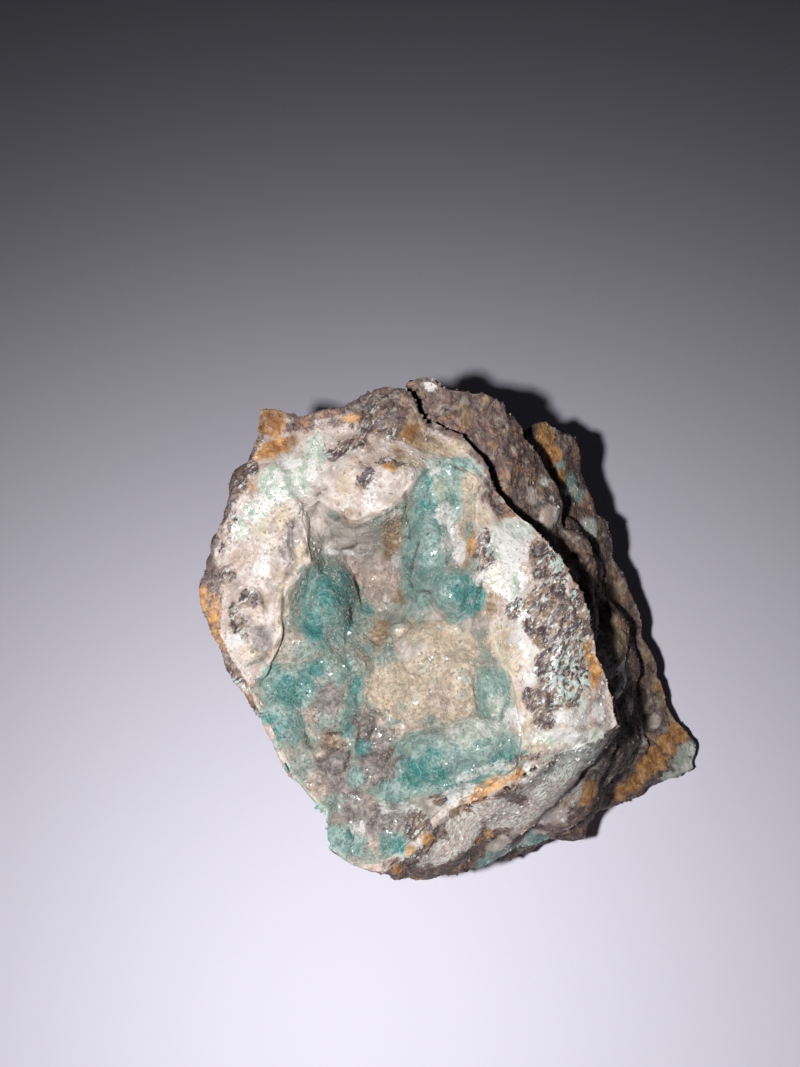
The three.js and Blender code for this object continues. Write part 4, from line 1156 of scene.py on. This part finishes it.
def scattered(rings, marks, chance, count, seed):
    """Random places on a grid: a quad is drawn by its area times its chance, and a place on it mixed
    from its corners. Gives the places, the normals, the marks there and the generator of random
    numbers."""
    rng = np.random.default_rng(seed)
    after = np.roll(rings, -1, 1)
    corners = np.stack([rings[:-1], after[:-1], rings[1:], after[1:]])
    first, second, third, fourth = corners
    normal = np.cross(third + fourth - first - second, second + fourth - first - third)
    area = np.linalg.norm(normal, axis=-1)
    weight = (area * np.broadcast_to(chance, rings.shape[:2])[:-1]).ravel()
    pick = rng.choice(weight.size, count, p=weight / weight.sum())
    across, down = rng.random((2, count, 1))
    first, second, third, fourth = corners.reshape(4, -1, 3)[:, pick]
    top, bottom = first + (second - first) * across, third + (fourth - third) * across
    place = top + (bottom - top) * down
    found = {name: values[:-1].ravel()[pick] for name, values in marks.items()}
    return place, (normal / (area[..., None] + 1e-12)).reshape(-1, 3)[pick], found, rng


def rhombs(name, grains, halves, lean, sunk, material):
    """Rhombohedra: a top and a bottom corner on the axis, and two rings of three corners a third of
    the way to them, turned half a step. The axis is the normal plus a random vector times lean; the
    half width goes from the smaller to the larger size by a power of a random number, and its middle
    is sunk by a share of that."""
    places, normals, marks, rng = grains
    count = len(places)
    half = halves[0] + (halves[1] - halves[0]) * rng.random((count, 1)) ** 2.5
    tall = half * (0.9 + 0.7 * rng.random((count, 1)))
    axis = normals + lean * rng.normal(size=(count, 3))
    axis /= np.linalg.norm(axis, axis=1, keepdims=True)
    side = np.cross(axis, rng.normal(size=(count, 3)))
    side /= np.linalg.norm(side, axis=1, keepdims=True)
    third = np.cross(axis, side)
    middle = places - normals * half * sunk
    turn = np.radians(np.arange(6) * 60)
    corners = [middle + axis * tall]
    for k in (0, 2, 4, 1, 3, 5):
        level = tall / 3 if k % 2 == 0 else -tall / 3
        corners.append(middle + (side * np.cos(turn[k]) + third * np.sin(turn[k])) * half + axis * level)
    corners.append(middle - axis * tall)
    faces = np.array([(0, 1, 4, 2), (0, 2, 5, 3), (0, 3, 6, 1), (7, 4, 1, 6), (7, 5, 2, 4), (7, 6, 3, 5)])
    polygons = (faces + 8 * np.arange(count)[:, None, None]).reshape(-1, 4)
    marks = {key: np.repeat(values, 8) for key, values in marks.items()}
    marks["grain"] = np.repeat(rng.random(count), 8)
    # each crystal carries half the painted shade of the place it stands on
    marks["hollow"] = marks["hollow"] * 0.5
    return new_object(name, np.stack(corners, 1).reshape(-1, 3), [polygons], marks, material, False)


class NODULE_OT_stage(bpy.types.Operator):
    """Sets the pale table, the small lamp beside the camera, the faint room light and the camera"""

    bl_idname = "nodule.stage"
    bl_label = "Set stage"

    def execute(self, context):
        scene = context.scene
        mesh = bpy.data.meshes.new("table")
        half = TABLE_HALF * MM
        corners = [(-half, -half, 0), (half, -half, 0), (half, half, 0), (-half, half, 0)]
        mesh.from_pydata(corners, [], [(0, 1, 2, 3)])
        table = bpy.data.objects.new("table", mesh)
        g = Graph("table")
        tint = g.mix(g.noise(40), (0.80, 0.785, 0.93), (0.83, 0.815, 0.95))
        g.finish({"Roughness": 0.6}, {"Base Color": tint})
        mesh.materials.append(g.material)
        context.collection.objects.link(table)
        camera = bpy.data.objects.new("camera", bpy.data.cameras.new("camera"))
        camera.data.lens = LENS
        camera.data.sensor_width = 36
        camera.data.clip_start = 0.005
        camera.location = in_part(EYE)
        camera.rotation_euler = (math.radians(EYE_TILT), 0, 0)
        context.collection.objects.link(camera)
        scene.camera = camera
        add_flash(context)
        world = bpy.data.worlds.new("room")
        scene.world = world
        world.use_nodes = True
        background = world.node_tree.nodes["Background"]
        background.inputs["Color"].default_value = (0.8, 0.8, 0.95, 1)
        background.inputs["Strength"].default_value = ROOM_LIGHT
        scene.view_settings.view_transform = "Standard"
        return {"FINISHED"}


def add_flash(context):
    """The small square lamp beside the camera, turned to face its target."""
    light = bpy.data.lights.new("flash", "AREA")
    light.size = FLASH_SIZE * MM
    light.energy = FLASH_WATTS
    light.color = (1, 0.985, 0.96)
    lamp = bpy.data.objects.new("flash", light)
    lamp.location = in_part(FLASH_PLACE)
    away = in_part(FLASH_PLACE) - in_part(FLASH_TARGET)
    away /= np.linalg.norm(away)
    lamp.rotation_euler = (math.acos(away[2]), 0, math.atan2(away[0], -away[1]))
    context.collection.objects.link(lamp)


class NODULE_PT_panel(bpy.types.Panel):
    """Lists the builders and their sizes"""

    bl_label = "Nodule"
    bl_space_type = "VIEW_3D"
    bl_region_type = "UI"
    bl_category = "Nodule"

    def draw(self, context):
        for group in (context.scene.nodule_sizes, context.scene.nodule_finish):
            for name in group.__annotations__:
                self.layout.prop(group, name)
        for operator in OPERATORS:
            self.layout.operator(operator.bl_idname)


OPERATORS = (NODULE_OT_rock, NODULE_OT_crust, NODULE_OT_stage)
GROUPS = {"nodule_sizes": NoduleSizes, "nodule_finish": NoduleFinish}


def register():
    for name, group in GROUPS.items():
        bpy.utils.register_class(group)
        setattr(bpy.types.Scene, name, bpy.props.PointerProperty(type=group))
    for item in (*OPERATORS, NODULE_PT_panel):
        bpy.utils.register_class(item)


def unregister():
    for item in reversed((*OPERATORS, NODULE_PT_panel)):
        bpy.utils.unregister_class(item)
    for name, group in GROUPS.items():
        delattr(bpy.types.Scene, name)
        bpy.utils.unregister_class(group)


def main():
    """Builds every piece in order."""
    register()
    for operator in OPERATORS:
        group, name = operator.bl_idname.split(".")
        getattr(getattr(bpy.ops, group), name)()


if __name__ == "__main__":
    main()
